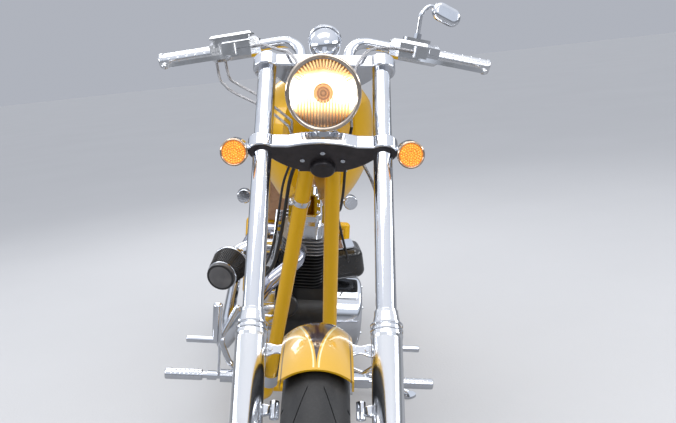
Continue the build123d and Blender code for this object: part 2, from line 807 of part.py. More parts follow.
def air_filter():
    back = filter_cap - filter_axis * filter_length
    body = cone(back, filter_cap - filter_axis * 14, 56, 44)
    cap = rod(filter_cap - filter_axis * 14, filter_cap, 42)
    ring = rod(back - filter_axis * 4, back + filter_axis * 8, 50)
    return body + cap + ring


def primary_cover():
    outline = round_loop((crank_x, crank_z), primary_front_radius, (clutch_x, clutch_z), clutch_radius)
    inner = round_loop((crank_x, crank_z), primary_front_radius - 16, (clutch_x, clutch_z), clutch_radius - 16)
    shell = plate(outline, primary_inner_y, primary_outer_y)
    shell = fillet(shell.faces().sort_by(Axis.Y)[-1].edges(), 16)
    back = plate(inner, crankcase_half + 0.2, primary_inner_y)
    derby = plate(Pos(clutch_x, clutch_z) * Circle(66), primary_outer_y, primary_outer_y + 7)
    return shell + back + fillet(derby.faces().sort_by(Axis.Y)[-1].edges(), 3)


def gearbox():
    body = Pos(548, 1.8, 322) * Box(165, 156, 190)
    body = fillet(body.edges().filter_by(Axis.Y), 24)
    seat_z = rail_z + cross_tube_radius + 0.2
    body += Pos(560, 0, (seat_z + 240) / 2) * Box(90, 110, 240 - seat_z)
    tray = Pos(560, 1.8, 431.4) * Box(120, 110, 2 * (448.7 - 431.4))
    shaft = rod((clutch_x - 20, -75, clutch_z), (clutch_x - 20, belt_y - 16, clutch_z), 18)
    pulley = plate(Pos(clutch_x - 20, clutch_z) * Circle(drive_pulley_radius), belt_y - 16, belt_y + 16)
    return body + tray + shaft + pulley


def drive_belt():
    wheel_centre = (0, rear_axle_z)
    box_centre = (clutch_x - 20, clutch_z)
    gap = 0.3
    wheel_side = wheel_pulley_radius + gap
    box_side = drive_pulley_radius + gap
    outer = round_loop(wheel_centre, wheel_side + belt_thickness, box_centre, box_side + belt_thickness)
    inner = round_loop(wheel_centre, wheel_side, box_centre, box_side)
    return plate(outer - inner, belt_y - belt_width / 2, belt_y + belt_width / 2)


def exhaust_pipes():
    # Each pipe leaves its head square to the port, turns outwards and runs back, the front one below
    front = [(1046, -112, 500), (990, -206, 330), (880, -236, 256), (660, -236, 246), (-60, -236, 262)]
    rear = [(556, -150, 568), (520, -222, 420), (420, -236, 346), (300, -236, 334), (-60, -236, 338)]
    pipes = []
    for place, side, route in zip(cylinder_places(), (1, -1), (front, rear)):
        mouth = moved_point(place, (side * (port_reach + 0.3), port_y, head_top - port_drop))
        ahead = moved_point(place, (side * (port_reach + 44), port_y, head_top - port_drop))
        pipes.append(bent_tube([mouth, ahead] + route, [34, 50, 90, 120, 200], exhaust_radius, exhaust_wall))
    return pipes


# Body


def tank_section(x, half, foot_half, bottom, side, shoulder, top):
    edges = Curve() + [
        ThreePointArc((-half, shoulder), (0, top), (half, shoulder)),
        ThreePointArc((half, shoulder), (half + 6, side), (foot_half, bottom)),
        Line((foot_half, bottom), (-foot_half, bottom)),
        ThreePointArc((-foot_half, bottom), (-half - 6, side), (-half, shoulder)),
    ]
    return Plane(origin=(x, 0, 0), x_dir=(0, 1, 0), z_dir=(1, 0, 0)) * make_face(edges)


def fuel_tank():
    # Columns: x, half width, half width of the floor, floor z, z of the widest place, shoulder z, top z
    table = [
        (tank_tail_x, 46, 36, 790, 825, 850, 884),
        (860, 108, 66, 780, 850, 915, 975),
        (1060, 138, 80, 778, 890, 1018, 1090),
        (1210, 126, 74, 786, 900, 1052, 1124),
        (tank_nose_x, 80, 50, 818, 915, 1036, 1098),
    ]
    body = loft([tank_section(*row) for row in table])
    # Open channel underneath, for the backbone
    neck_mid, tail_bend, seat_bend = [Vector(*point) for point in backbone_route()[:3]]
    channel = bent_tube([neck_mid, tail_bend, seat_bend], backbone_bends[:1], tunnel_half)
    below = Polygon(
        (neck_mid.X, neck_mid.Z), (tail_bend.X, tail_bend.Z), (640, 740), (640, 640), (neck_mid.X, 640), align=None
    )
    return body - channel - plate(below, 1 - tunnel_half, tunnel_half - 1)


def tank_cap(tank):
    seat_plane = Plane(origin=(1070, 0, 1085), z_dir=(-0.23, 0, 1))
    raw = Location(seat_plane) * (extrude(Circle(28), 22) + extrude(Circle(33), 14))
    return raw - tank


def seat():
    # One pad from the tank's tail over the backbone's drop to the pillion place on the fender
    profile = Polyline(
        (684, 884), (600, 846), (550, 818), (505, 752), (452, 684), (400, 654), (360, 648), (318, 668),
        (262, 712), (120, 742), (92, 722), (100, 680), (262, 598), (318, 566), (362, 566), (420, 572),
        (536, 752), (600, 790), (684, 820), close=True,
    )
    outline = make_face(profile)
    pad = plate(outline, -seat_half, seat_half)
    nose = Pos(640, 0, 800) * Box(200, 400, 400)
    pad = (pad - nose) + (plate(outline, -seat_nose_half, seat_nose_half) & nose)
    pad -= bent_tube(backbone_route(), backbone_bends, backbone_radius + seat_clearance)
    over_fender = plate(Pos(0, rear_axle_z) * Circle(rear_fender_radius + seat_clearance), -200, 200)
    return pad - over_fender


def tail_light():
    return rear_wheel_place * Rot(0, -62, 0) * Pos(0, 0, rear_fender_radius + 10) * Box(52, 118, 19.4)


def plate_bracket():
    board = Pos(-452, 0, 360) * Rot(0, -14, 0) * Box(4, 180, 120)
    arm = rod((-377, 0, 330), (-447, 0, 352), 10)
    return board + arm


def oil_tank():
    body = Pos(564, 0, 492) * Box(128, 210, 86)
    return fillet(body.edges().filter_by(Axis.Z), 26)


def foot_control(side):
    # Plate clamped on the downtube, the rider's peg on its clevis, and the pedal with its toe piece.
    # Drawn about the downtube's foot
    foot = Vector(*downtube_foot)
    rise = (downtube_head() - foot).normalized()
    low, high = rise * 44, rise * 87
    bore = rod(low * -1, high * 2, frame_tube_radius + 0.3)
    bracket = Pos(76, 37, 78) * Rot(0, 8, 0) * fillet(Box(104, 40, 50).edges().filter_by(Axis.Y), 12)
    bracket += rod(low, high, frame_tube_radius + 8)
    bracket -= bore
    clevis = Pos(126, 72, 94) * fillet(Box(34, 54, 34).edges().filter_by(Axis.Y), 9)
    peg_y = 97
    peg = rod((126, peg_y, 94), (126, peg_y + 34, 94), 18)
    # Columns: distance along the peg from, to, radius
    for from_y, to_y, radius in [(34, 44, 9), (44, 70, 13), (70, 82, 9)]:
        peg += rod((126, peg_y + from_y, 94), (126, peg_y + to_y, 94), radius)
    sleeve = rod((126, peg_y + 82, 94), (126, peg_y + 184, 94), 15)
    peg += fillet(sleeve.edges(), 4)
    toe_z = 214
    toe = rod((176, 121, toe_z), (176, 221, toe_z), 9)
    arm = bent_tube([(84, 77, 90), (136, 109, 140), (176, 133, toe_z + 4)], [40], 8)
    arm += rod((84, 45, 90), (84, 87, 90), 10)
    body = bracket + clevis + peg + arm + fillet(toe.edges(), 3)
    if side == "right":
        cylinder = rod((72, 55, 90), (86, 59, 240), 16) + rod((86, 59, 240), (90, 59, 280), 22)
        # Upright pad beside the toe piece, braced by a strut to the cylinder's head
        pad = rod((176, 141, toe_z), (176, 141, toe_z + 104), 13)
        pad = fillet(pad.edges().sort_by(Axis.Z)[-1], 10)
        strut = rod((176, 135, toe_z + 2), (162, 92, toe_z + 88), 8) + rod((162, 92, toe_z + 88), (90, 62, 258), 7)
        link = rod((170, 134, toe_z), (132, peg_y + 38, 98), 3.5)
        body += cylinder + pad + strut + Pos(162, 92, toe_z + 88) * Sphere(8) + link
        return mirrored(Pos(*foot) * body)
    return Pos(*foot) * body


def coil_cover():
    # Rounded black cover with a bright plate along its top
    body = Box(150, 116, 96)
    body = fillet(body.edges(), 26)
    plaque = Pos(0, 0, 49) * extrude(RectangleRounded(118, 72, 12), 4)
    neck = Pos(0, 0, 44) * extrude(RectangleRounded(96, 52, 10), 6)
    return Pos(800, 134.9, 532) * Rot(12, 0, 0) * (body + neck + plaque)


def oil_filter():
    # Canister on the front of the crankcase, its end forwards
    start = Vector(crank_x + crankcase_radius + 2, -45, crank_z + 50)
    axis = Vector(58, 0, 14)
    can = rod(start, start + axis, 36)
    can = fillet(can.edges().sort_by(Axis.X)[-1], 9)
    neck = rod(start - axis * 0.4, start, 22) - crankcase()
    return can + neck


def regulator():
    # Finned box on a plate that spans the backs of the downtubes
    foot = Vector(*downtube_foot)
    head = downtube_head()
    middle = foot + (head - foot) * 0.16
    slope = degrees(atan2(head.X - foot.X, head.Z - foot.Z))
    back = -frame_tube_radius - 0.3
    base = Pos(back - 3, 0, 0) * Box(6, 2 * middle.Y, 84)
    block = Pos(back + 10, 0, 0) * Box(20, 84, 70)
    for row in range(6):
        block += Pos(back + 24, -35 + 14 * row, 0) * Box(9, 4, 70)
    return Pos(middle.X, 0, middle.Z) * Rot(0, slope, 0) * (base + block)


def along_fork(table, side=1):
    # Route points given ahead of the fork's axis, outwards and up along it
    return [fork_point(ahead, side * out, up) for ahead, out, up in table]


def handlebar_cables():
    # Two throttle cables hang from the right control and pass behind the fork tube to the neck
    pieces = []
    tables = [
        (-152, [(-56, 192, 1014), (-48, 151, 983), (-46, 109, 945), (-48, 72, 912)]),
        (-130, [(-62, 218, 1004), (-54, 157, 966), (-48, 108, 926), (-50, 78, 897)]),
    ]
    for place, table in tables:
        leaving = [moved_point(bar_frame(), (22, down, place)) for down in (24.4, 66)]
        route = [Vector(point.X, -point.Y, point.Z) for point in leaving]
        pieces.append(cable(route + along_fork(table, -1), throttle_cable_diameter))
    # The clutch line leaves the left perch inwards, arches over the clamp and drops beside the neck
    leaving = [moved_point(bar_frame(), (50, 0, place)) for place in (-188.5, -219)]
    table = [(6, 140, 1086), (22, 105, 1066), (41, 78, 1018), (20, 60, 970), (-14, 60, 925), (-44, 64, 895)]
    pieces.append(cable(leaving + along_fork(table), hose_diameter))
    return pieces


def brake_hose():
    # From the right control over the top clamp, behind the headlight and down the back of the left leg
    inner = -grip_length - control_length - 1
    starts = [moved_point(bar_frame(), point) for point in ((31, 0, inner + 10.4), (57, 0, inner - 9))]
    right = [(0, 104, 1078), (38, 80, 1040), (42, 58, 1004), (16, 52, 956), (-8, 46, 904), (-7, 14, 874)]
    left = [
        (-14, 34, 856),
        (-44, 66, 846),
        (-68, 90, 812),
        (-46, 114, 740),
        (-37, 128, 640),
        (-38, 130, 420),
        (-46, 124, 260),
        (-76, 98, 176),
    ]
    caliper = fork_frame * Pos(0, front_disc_y, 0) * Rot(0, caliper_angle, 0)
    ends = [moved_point(caliper, (-disc_radius - 10, 0, height)) for height in (86, 48.6)]
    route = [Vector(point.X, -point.Y, point.Z) for point in starts]
    return cable(route + along_fork(right, -1) + along_fork(left) + ends, hose_diameter)


def downtube_cables():
    # The lines that come down from the neck: the brake cylinder's hose and the throttle line outside the
    # right downtube, and the clutch line under the tank to the coil cover
    hose = [
        (1454, -52, 925),
        (1405, -68, 868),
        (1362, -73, 795),
        (1322, -80, 705),
        (1272, -94, 612),
        (1214, -130, 560),
        (1179, -150, 522),
        (1176, -150, 470.4),
    ]
    throttle = [
        (1462, -68, 916),
        (1414, -84, 858),
        (1370, -88, 788),
        (1330, -95, 700),
        (1268, -110, 622),
        (1180, -128, 590),
        (1040, -140, 574),
        (900, -136, 548),
        (crank_x + 30, -112, 526),
    ]
    clutch = [
        (1452, 56, 922),
        (1400, 62, 850),
        (1340, 64, 790),
        (1240, 66, 764),
        (1120, 72, 748),
        (1010, 92, 690),
        (924, 137, 556),
        (876, 141, 548),
    ]
    return [cable(hose, 9), cable(throttle, throttle_cable_diameter), cable(clutch, hose_diameter)]


# Side stand


def stand_foot_point():
    pivot = moved_point(standing, stand_pivot)
    return Vector(pivot.X + stand_foot_ahead, pivot.Y + stand_foot_out, 0)


def side_stand():
    ground = standing.inverse()
    foot_point = stand_foot_point()
    foot = ground * Pos(*foot_point) * extrude(Circle(stand_foot_radius), stand_foot_thickness)
    ankle = moved_point(ground, (foot_point.X, foot_point.Y, stand_foot_thickness + stand_leg_radius - 4))
    pivot = Vector(*stand_pivot)
    leg = bent_tube([pivot, pivot + (ankle - pivot) * 0.55 + Vector(0, 0, 6), ankle], [200], stand_leg_radius)
    knuckle = extrude(Circle(stand_knuckle_radius), stand_knuckle_height / 2, both=True)
    hole = extrude(Circle(stand_pin_radius + bearing_clearance), stand_knuckle_height, both=True)
    return leg + foot + stand_hinge_place() * knuckle - stand_hinge_place() * hole


def stand_axis():
    # The foot swings from ahead and outside to behind the pivot, along the rail
    pivot = Vector(*stand_pivot)
    foot = moved_point(standing.inverse(), stand_foot_point())
    folded = Vector(-1, 0.12, 0.03)
    return (foot - pivot).normalized().cross(folded).normalized()


def chassis_pieces():
    tank = fuel_tank()
    return {
        "frame_backbone": frame_backbone(),
        "frame_downtubes": frame_downtubes(),
        "frame_rails": frame_rails(),
        "swingarm": swingarm(),
        "rear_axle": rear_axle(),
        "rear_caliper": rear_caliper(),
        "crankcase": crankcase(),
        "cylinders": barrels(),
        "cylinder_heads": heads(),
        "rocker_covers": rocker_covers(),
        "pushrod_tubes": pushrod_tubes(),
        "cam_cover": cam_cover(),
        "carburettor": carburettor(),
        "air_filter": air_filter(),
        "primary_cover": primary_cover(),
        "gearbox": gearbox(),
        "drive_belt": drive_belt(),
        "exhaust_pipes": exhaust_pipes(),
        "fuel_tank": tank,
        "tank_cap": tank_cap(tank),
        "seat": seat(),
        "rear_fender": rear_fender(),
        "tail_light": tail_light(),
        "plate_bracket": plate_bracket(),
        "oil_tank": oil_tank(),
        "rear_signals": rear_signals(),
        "right_foot_control": foot_control("right"),
        "left_foot_control": foot_control("left"),
        "coil_cover": coil_cover(),
        "regulator": regulator(),
        "oil_filter": oil_filter(),
        "downtube_hose": downtube_cables(),
    }


def steering_pieces():
    return {
        "top_clamp": clamp(upper_clamp_bottom, upper_clamp_bow),
        "bottom_clamp": clamp(lower_clamp_bottom, clamp_bow),
        "steering_stem": stem(),
        "fork_tubes": both_sides(fork_tube()),
        "fork_legs": both_sides(fork_leg()),
        "front_axle": front_axle(),
        "front_fender": front_fender(),
        "fender_brackets": fender_brackets(),
        "front_caliper": front_caliper(),
        "handlebar": handlebar(),
        "grips": grips(),
        "right_hand_control": mirrored(hand_control(True)),
        "left_hand_control": hand_control(False),
        "mirror": mirror_arm(),
        "headlight_shell": headlight_shell(),
        "headlight_lens": headlight_lens(),
        "speedometer": speedometer(),
        "front_signals": front_signals(),
        "handlebar_cables": handlebar_cables(),
        "brake_hose": brake_hose(),
    }


def front_wheel_pieces():
    rim = wheel(
        front_tyre_radius, front_tyre_crown, front_bead_radius, 38, front_hub_half,
        front_axle_radius + bearing_clearance, 14,
    )
    return {
        "front_tyre": front_wheel_place * tyre(front_tyre_radius, front_tyre_crown, front_bead_radius),
        "front_rim": front_wheel_place * rim,
        "front_disc": front_wheel_place * brake_disc(front_disc_y, front_hub_half),
    }


def rear_wheel_pieces():
    rim = wheel(
        rear_tyre_radius, rear_tyre_crown, rear_bead_radius, 50, rear_hub_half,
        rear_axle_radius + bearing_clearance, 26,
    )
    return {
        "rear_tyre": rear_wheel_place * tyre(rear_tyre_radius, rear_tyre_crown, rear_bead_radius),
        "rear_rim": rear_wheel_place * rim,
        "rear_disc": rear_wheel_place * brake_disc(rear_disc_y, rear_hub_half),
        "rear_pulley": rear_wheel_place * drive_pulley(),
    }


def one_shape(piece):
    return Compound(children=list(piece)) if isinstance(piece, (list, tuple)) else piece


def parked_nodes():
    # The steered pieces turn about the steering axis first, then all is leaned and set on the ground
    nodes = {}
    for name, piece in {**chassis_pieces(), **rear_wheel_pieces(), "side_stand": side_stand()}.items():
        nodes[name] = standing * one_shape(piece)
    for name, piece in {**steering_pieces(), **front_wheel_pieces()}.items():
        nodes[name] = standing * steering_turn * one_shape(piece)
    return nodes


def centring(nodes):
    boxes = [node.bounding_box() for node in nodes.values()]
    middle_x = (min(box.min.X for box in boxes) + max(box.max.X for box in boxes)) / 2
    middle_y = (min(box.min.Y for box in boxes) + max(box.max.Y for box in boxes)) / 2
    lowest = min(box.min.Z for box in boxes)
    print("centre", round(middle_x, 2), round(middle_y, 2), "lowest", round(lowest, 3))
    return Pos(-middle_x, -middle_y, -lowest)


def main():
    os.makedirs("parts", exist_ok=True)
    nodes = parked_nodes()
    to_origin = centring(nodes)
    for name, node in nodes.items():
        export_step(to_origin * node, "parts/" + name + ".step")


if __name__ == "__main__":
    main()
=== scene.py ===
import bpy
from math import acos, asin, atan2, cos, degrees, exp, pi, radians, sin, sqrt
from mathutils import Matrix, Vector
from mathutils.bvhtree import BVHTree


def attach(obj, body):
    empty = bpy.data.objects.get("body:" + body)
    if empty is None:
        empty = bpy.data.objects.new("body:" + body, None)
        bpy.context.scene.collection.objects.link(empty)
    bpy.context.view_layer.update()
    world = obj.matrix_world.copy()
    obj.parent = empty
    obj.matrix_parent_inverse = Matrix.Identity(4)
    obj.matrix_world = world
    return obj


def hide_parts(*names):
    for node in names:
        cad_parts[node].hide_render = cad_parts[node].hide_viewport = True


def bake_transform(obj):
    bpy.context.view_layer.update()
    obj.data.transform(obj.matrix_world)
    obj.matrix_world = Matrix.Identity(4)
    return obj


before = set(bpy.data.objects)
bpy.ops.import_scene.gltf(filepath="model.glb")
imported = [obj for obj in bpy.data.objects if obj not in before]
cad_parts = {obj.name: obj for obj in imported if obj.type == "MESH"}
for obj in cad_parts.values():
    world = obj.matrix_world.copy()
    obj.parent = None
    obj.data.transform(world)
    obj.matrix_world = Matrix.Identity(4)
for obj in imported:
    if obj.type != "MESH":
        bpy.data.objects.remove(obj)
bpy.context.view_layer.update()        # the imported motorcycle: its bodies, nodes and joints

scene = bpy.context.scene
print("frame loaded,", len(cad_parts), "nodes")

# Places: axes in metres and degrees, x ahead, y to the rider's left and z up unless a note says otherwise

def placeOf(at, turn=(0, 0, 0)):
    rotation = Matrix.Identity(4)
    for angle, axis in zip(reversed(turn), "ZYX"):
        rotation = rotation @ Matrix.Rotation(radians(angle), 4, axis)
    return Matrix.Translation(at) @ rotation


def metres(at):        # a point given in millimetres
    return Vector([v / 1000 for v in at])


def near(place, at, turn=(0, 0, 0)):        # a place given in millimetres and degrees on another place's axes
    return place @ placeOf(metres(at), turn)


def facing(place, at, towards):        # the same, with its z axis along a direction
    rotation = Vector(towards).to_track_quat("Z", "Y").to_matrix().to_4x4()
    return place @ Matrix.Translation(metres(at)) @ rotation


chassisTurn = (-10.3, -0.0206, 0)
steeringTurn = (-6.9987, -0.5883, -3.7302)
chassisPlace = placeOf((-0.980238, -0.146159, 0.002014), chassisTurn)
steeringPlace = placeOf((-0.975206, 0.004637, -0.020949), steeringTurn)
forkPlace = placeOf((1.099494, -0.087888, 0.34778), (-9.3212, -41.2149, 2.37))         # z up along the fork
leftBarPlace = placeOf((0.320359, 0.449666, 1.070784), (-106.6857, -0.2168, -2.4906))  # z out along the bar
lampPlace = placeOf((0.59006, 0.033747, 1.061269), steeringTurn)
lampAxis = near(lampPlace, (0, 0, 0), (0, 90, 0))        # z forward, x down, y left
frontWheelPlace = placeOf((1.099494, -0.087888, 0.34778), steeringTurn)
rearWheelPlace = placeOf((-0.980354, -0.087512, 0.324729), chassisTurn)
tailPlace = near(rearWheelPlace, (0, 0, 0), (0, -62, 0))        # z out through the tail light


def steered(at, turn=(0, 0, 0)):        # a place at a point of the scene, turned from the steering's axes
    return Matrix.Translation(at) @ steeringPlace.to_3x3().to_4x4() @ placeOf((0, 0, 0), turn)


# Shader maths

class Socket:        # one shader value, so that maths on it reads as plain expressions
    def __init__(self, nodes, end):
        self.nodes = nodes
        self.end = end

    def maths(self, operation, *others):
        return self.nodes.maths(operation, self, *others)

    def __add__(self, other):
        return self.maths("ADD", other)

    def __sub__(self, other):
        return self.maths("SUBTRACT", other)

    def __rsub__(self, other):
        return self.nodes.maths("SUBTRACT", other, self)

    def __mul__(self, other):
        return self.maths("MULTIPLY", other)

    def __gt__(self, other):
        return self.maths("GREATER_THAN", other)

    def __lt__(self, other):
        return self.maths("LESS_THAN", other)

    def __abs__(self):
        return self.maths("ABSOLUTE")

    __radd__ = __add__
    __rmul__ = __mul__


class Nodes:        # a node tree that is built by short calls
    def __init__(self, tree):
        self.tree = tree

    def add(self, kind, settings=None, inputs=None, out=0):
        node = self.tree.nodes.new(kind)
        for name, value in (settings or {}).items():
            if name == "stops":
                ramp = node.color_ramp
                while len(ramp.elements) < len(value):
                    ramp.elements.new(0.5)
                for element, (position, colour) in zip(ramp.elements, value):
                    element.position = position
                    element.color = (*colour, 1)
            else:
                setattr(node, name, value)
        for name, value in (inputs or {}).items():
            self.feed(node.inputs[name], value)
        return Socket(self, node.outputs[out])

    def feed(self, socket, value):
        if isinstance(value, Socket):
            self.tree.links.new(value.end, socket)
        elif socket.type == "RGBA" and len(value) == 3:
            socket.default_value = (*value, 1)
        else:
            socket.default_value = value

    def maths(self, operation, *values):
        return self.add("ShaderNodeMath", {"operation": operation}, dict(enumerate(values)))

    def split(self, where):
        node = self.add("ShaderNodeSeparateXYZ", {}, {0: where}).end.node
        return [Socket(self, node.outputs[i]) for i in range(3)]

    def mixed(self, mask, first, second):
        return self.add("ShaderNodeMix", {"data_type": "RGBA"}, {0: mask, 6: first, 7: second}, out=2)

    def scaled(self, colour, factor):
        return self.add("ShaderNodeVectorMath", {"operation": "SCALE"}, {0: colour, "Scale": factor})

    def ramp(self, value, stops):
        return self.add("ShaderNodeValToRGB", {"stops": stops}, {0: value}, out="Color")


class Finish(Nodes):        # one material
    def __init__(self, name):
        self.material = bpy.data.materials.new(name)
        self.material.use_nodes = True
        super().__init__(self.material.node_tree)
        self.shader = self.tree.nodes["Principled BSDF"]
        self.place = self.add("ShaderNodeTexCoord", out="Object")

    def mapped(self, place):        # the surface's points on a place's own axes, in metres
        back = place.inverted()
        return self.add("ShaderNodeMapping", {}, {"Vector": self.place, "Location": back.to_translation(),
                                                  "Rotation": back.to_euler()})

    def axes(self, place):
        return self.split(self.mapped(place))

    def noise(self, scale, detail=2.0, rough=0.5, where=None):
        return self.add("ShaderNodeTexNoise", {}, {"Vector": where or self.place, "Scale": scale,
                                                   "Detail": detail, "Roughness": rough}, out="Fac")

    def cells(self, scale, feature="F1", out="Distance"):
        inputs = {"Vector": self.place, "Scale": scale}
        return self.add("ShaderNodeTexVoronoi", {"feature": feature}, inputs, out)

    def step(self, value, low, high, to=(0.0, 1.0)):        # from low to high, eased into the range to
        return self.add("ShaderNodeMapRange", {"interpolation_type": "SMOOTHSTEP"},
                        {"Value": value, "From Min": low, "From Max": high, "To Min": to[0], "To Max": to[1]})

    def bumped(self, height, distance):
        return self.add("ShaderNodeBump", {}, {"Height": height, "Distance": distance}, out="Normal")

    def surface(self, **sockets):
        for name, value in sockets.items():
            self.feed(self.shader.inputs[name.replace("_", " ")], value)
        return self.material


def coat(piece, material):
    piece.data.materials.clear()
    piece.data.materials.append(material)


def dress(material, *names):        # gives CAD nodes their finish
    for name in names:
        coat(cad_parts[name], material)


# Metal finishes

chromeLooks = {
    "polishedChrome": {"bright": (0.80, 0.82, 0.86), "dull": (0.50, 0.51, 0.54), "haze": 0.045},
    "satinChrome": {"bright": (0.86, 0.87, 0.89), "dull": (0.62, 0.63, 0.65), "haze": 0.145},
    "bezelChrome": {"bright": (0.72, 0.61, 0.50), "dull": (0.46, 0.37, 0.30), "haze": 0.075},
}
chromeRelief = 0.00004


def chromeParts(finish, name="polishedChrome"):        # colour, roughness and bump of polished chrome
    look = chromeLooks[name]
    smudge = finish.step(finish.noise(13, 4, 0.6), 0.45, 0.75)
    scratches = finish.noise(420, 2, 0.7)
    spots = finish.step(finish.cells(75), 0.02, 0.10, (1, 0))
    colour = finish.mixed(smudge * 0.30 + spots * 0.20, look["bright"], look["dull"])
    rough = smudge * 0.10 + scratches * 0.03 + look["haze"]
    return colour, rough, scratches + finish.noise(30) * 2


def plainChrome(name):
    finish = Finish(name)
    colour, rough, relief = chromeParts(finish, name)
    return finish.surface(Base_Color=colour, Metallic=1.0, Roughness=rough,
                          Normal=finish.bumped(relief, chromeRelief))


# heights on the fork between which each piece goes from a painted dark underside to chrome: painted shade and
# painted reflection of dark ground below, chrome above
paintedShadeLooks = {
    "clampChromeShadedBelow": {"heights": (0.7893, 0.7900), "mottle": 60, "dark": (0.030, 0.026, 0.028),
                    "pale": (0.075, 0.066, 0.070), "metalLoss": 0.35, "rougher": 0.28, "relief": 0.00004},
    "stemShadedBelow": {"heights": (0.79, 0.83), "mottle": 80, "dark": (0.016, 0.015, 0.017),
                  "pale": (0.05, 0.045, 0.048), "metalLoss": 0.5, "rougher": 0.3, "relief": 0.00006},
}


def paintedShadeBelow(name):        # painted shade and painted reflection: the underside of the lower clamp, and the stem up to its bright top nut, painted dark
    look = paintedShadeLooks[name]
    finish = Finish(name)
    colour, rough, relief = chromeParts(finish)
    # painted shade: below these heights the colour is darkened and the metal dulled
    low = finish.step(finish.axes(forkPlace)[2], *look["heights"], (1, 0))
    shade = finish.mixed(finish.noise(look["mottle"], 4), look["dark"], look["pale"])
    return finish.surface(Base_Color=finish.mixed(low, colour, shade), Metallic=1.0 - low * look["metalLoss"],
                          Roughness=rough + low * look["rougher"],
                          Normal=finish.bumped(relief, look["relief"]))


heatTint = {"heights": (0.40, 0.56), "waver": 0.04,
            "stops": [(0.0, (0.80, 0.82, 0.86)), (0.35, (0.82, 0.76, 0.60)), (0.62, (0.66, 0.54, 0.46)),
                      (0.85, (0.46, 0.46, 0.56)), (1.0, (0.56, 0.57, 0.64))]}


def exhaustChrome():        # turns straw and blue towards the heads
    finish = Finish("exhaustChrome")
    colour, rough, relief = chromeParts(finish)
    height = finish.axes(chassisPlace)[2] + finish.noise(9, 3) * heatTint["waver"]
    hot = finish.step(height, *heatTint["heights"])
    colour = finish.mixed(finish.step(hot, 0.02, 0.25), colour, finish.ramp(hot, heatTint["stops"]))
    return finish.surface(Base_Color=colour, Metallic=1.0, Roughness=rough + hot * 0.08,
                          Normal=finish.bumped(relief, chromeRelief))


def castAluminium():
    finish = Finish("castAluminium")
    grain = finish.noise(700, 3, 0.6)
    stain = finish.step(finish.noise(18, 4), 0.45, 0.8)
    colour = finish.mixed(stain * 0.6, (0.44, 0.44, 0.45), (0.24, 0.23, 0.22))
    return finish.surface(Base_Color=colour, Metallic=0.9, Roughness=stain * 0.2 + grain * 0.12 + 0.3,
                          Normal=finish.bumped(grain, 0.0002))


def brakeSteel():
    finish = Finish("brakeSteel")
    mottle = finish.noise(90, 4, 0.7)
    colour = finish.mixed(mottle, (0.42, 0.42, 0.43), (0.62, 0.62, 0.62))
    return finish.surface(Base_Color=colour, Metallic=1.0, Roughness=mottle * 0.15 + 0.22,
                          Normal=finish.bumped(finish.noise(600), 0.0001))


# Paint and enamel

paintLook = {"deep": (0.66, 0.35, 0), "light": (0.76, 0.42, 0), "spark": (0.95, 0.62, 0.04), "sparks": 0.12}


def paintParts(finish):        # colour with a fine flake, and the bump of its surface
    flake = finish.cells(2600, out="Color")
    spark = finish.add("ShaderNodeSeparateColor", {}, {0: flake})
    deep = finish.mixed(finish.noise(6, 3), paintLook["deep"], paintLook["light"])
    colour = finish.mixed(spark * paintLook["sparks"], deep, paintLook["spark"])
    return colour, finish.bumped(finish.noise(260, 1), 0.00006)


def yellowPaint():
    finish = Finish("yellowPaint")
    colour, peel = paintParts(finish)
    return finish.surface(Base_Color=colour, Metallic=0.15, Roughness=finish.noise(40) * 0.08 + 0.30,
                          Specular_IOR_Level=0.2, Coat_Weight=0.42, Coat_Roughness=0.03, Normal=peel)


# angles from the fender's top, growing towards its rear, and widths from its middle
fenderStripe = {"tip": -0.30, "wide": 0.32, "tail": 1.25, "halfWidth": 0.030, "gap": 0.004, "edge": 0.0525}


def fenderPaint():        # yellow with a plain dark dart on the crown and a fine line along each border
    finish = Finish("fenderPaint")
    colour, peel = paintParts(finish)
    x, y, z = finish.axes(frontWheelPlace)
    angle = x.maths("ARCTAN2", z) * -1
    side = abs(y)
    grows = finish.step(angle, fenderStripe["tip"], fenderStripe["wide"], (0.0, fenderStripe["halfWidth"]))
    half = grows * finish.step(angle, fenderStripe["wide"], fenderStripe["tail"], (1, 0))
    inside = (angle > fenderStripe["tip"]) * (angle < fenderStripe["tail"])
    dart = finish.step(side - half, -0.0007, 0.0007, (1, 0))
    outline = finish.step(abs(side - half - fenderStripe["gap"]), 0.0008, 0.0016, (1, 0)) * inside
    rule = finish.step(abs(side - fenderStripe["edge"]), 0.0007, 0.0013, (1, 0))
    ink = finish.mixed(finish.noise(50, 3), (0.008, 0.006, 0.010), (0.030, 0.014, 0.040))
    colour = finish.mixed(outline, colour, (0.85, 0.80, 0.42))
    colour = finish.mixed(rule * 0.85, colour, (0.10, 0.06, 0.02))
    colour = finish.mixed(dart * inside, colour, ink)
    return finish.surface(Base_Color=colour, Metallic=0.12, Roughness=finish.noise(40) * 0.08 + 0.26,
                          Coat_Weight=1.0, Coat_Roughness=0.03, Normal=peel)


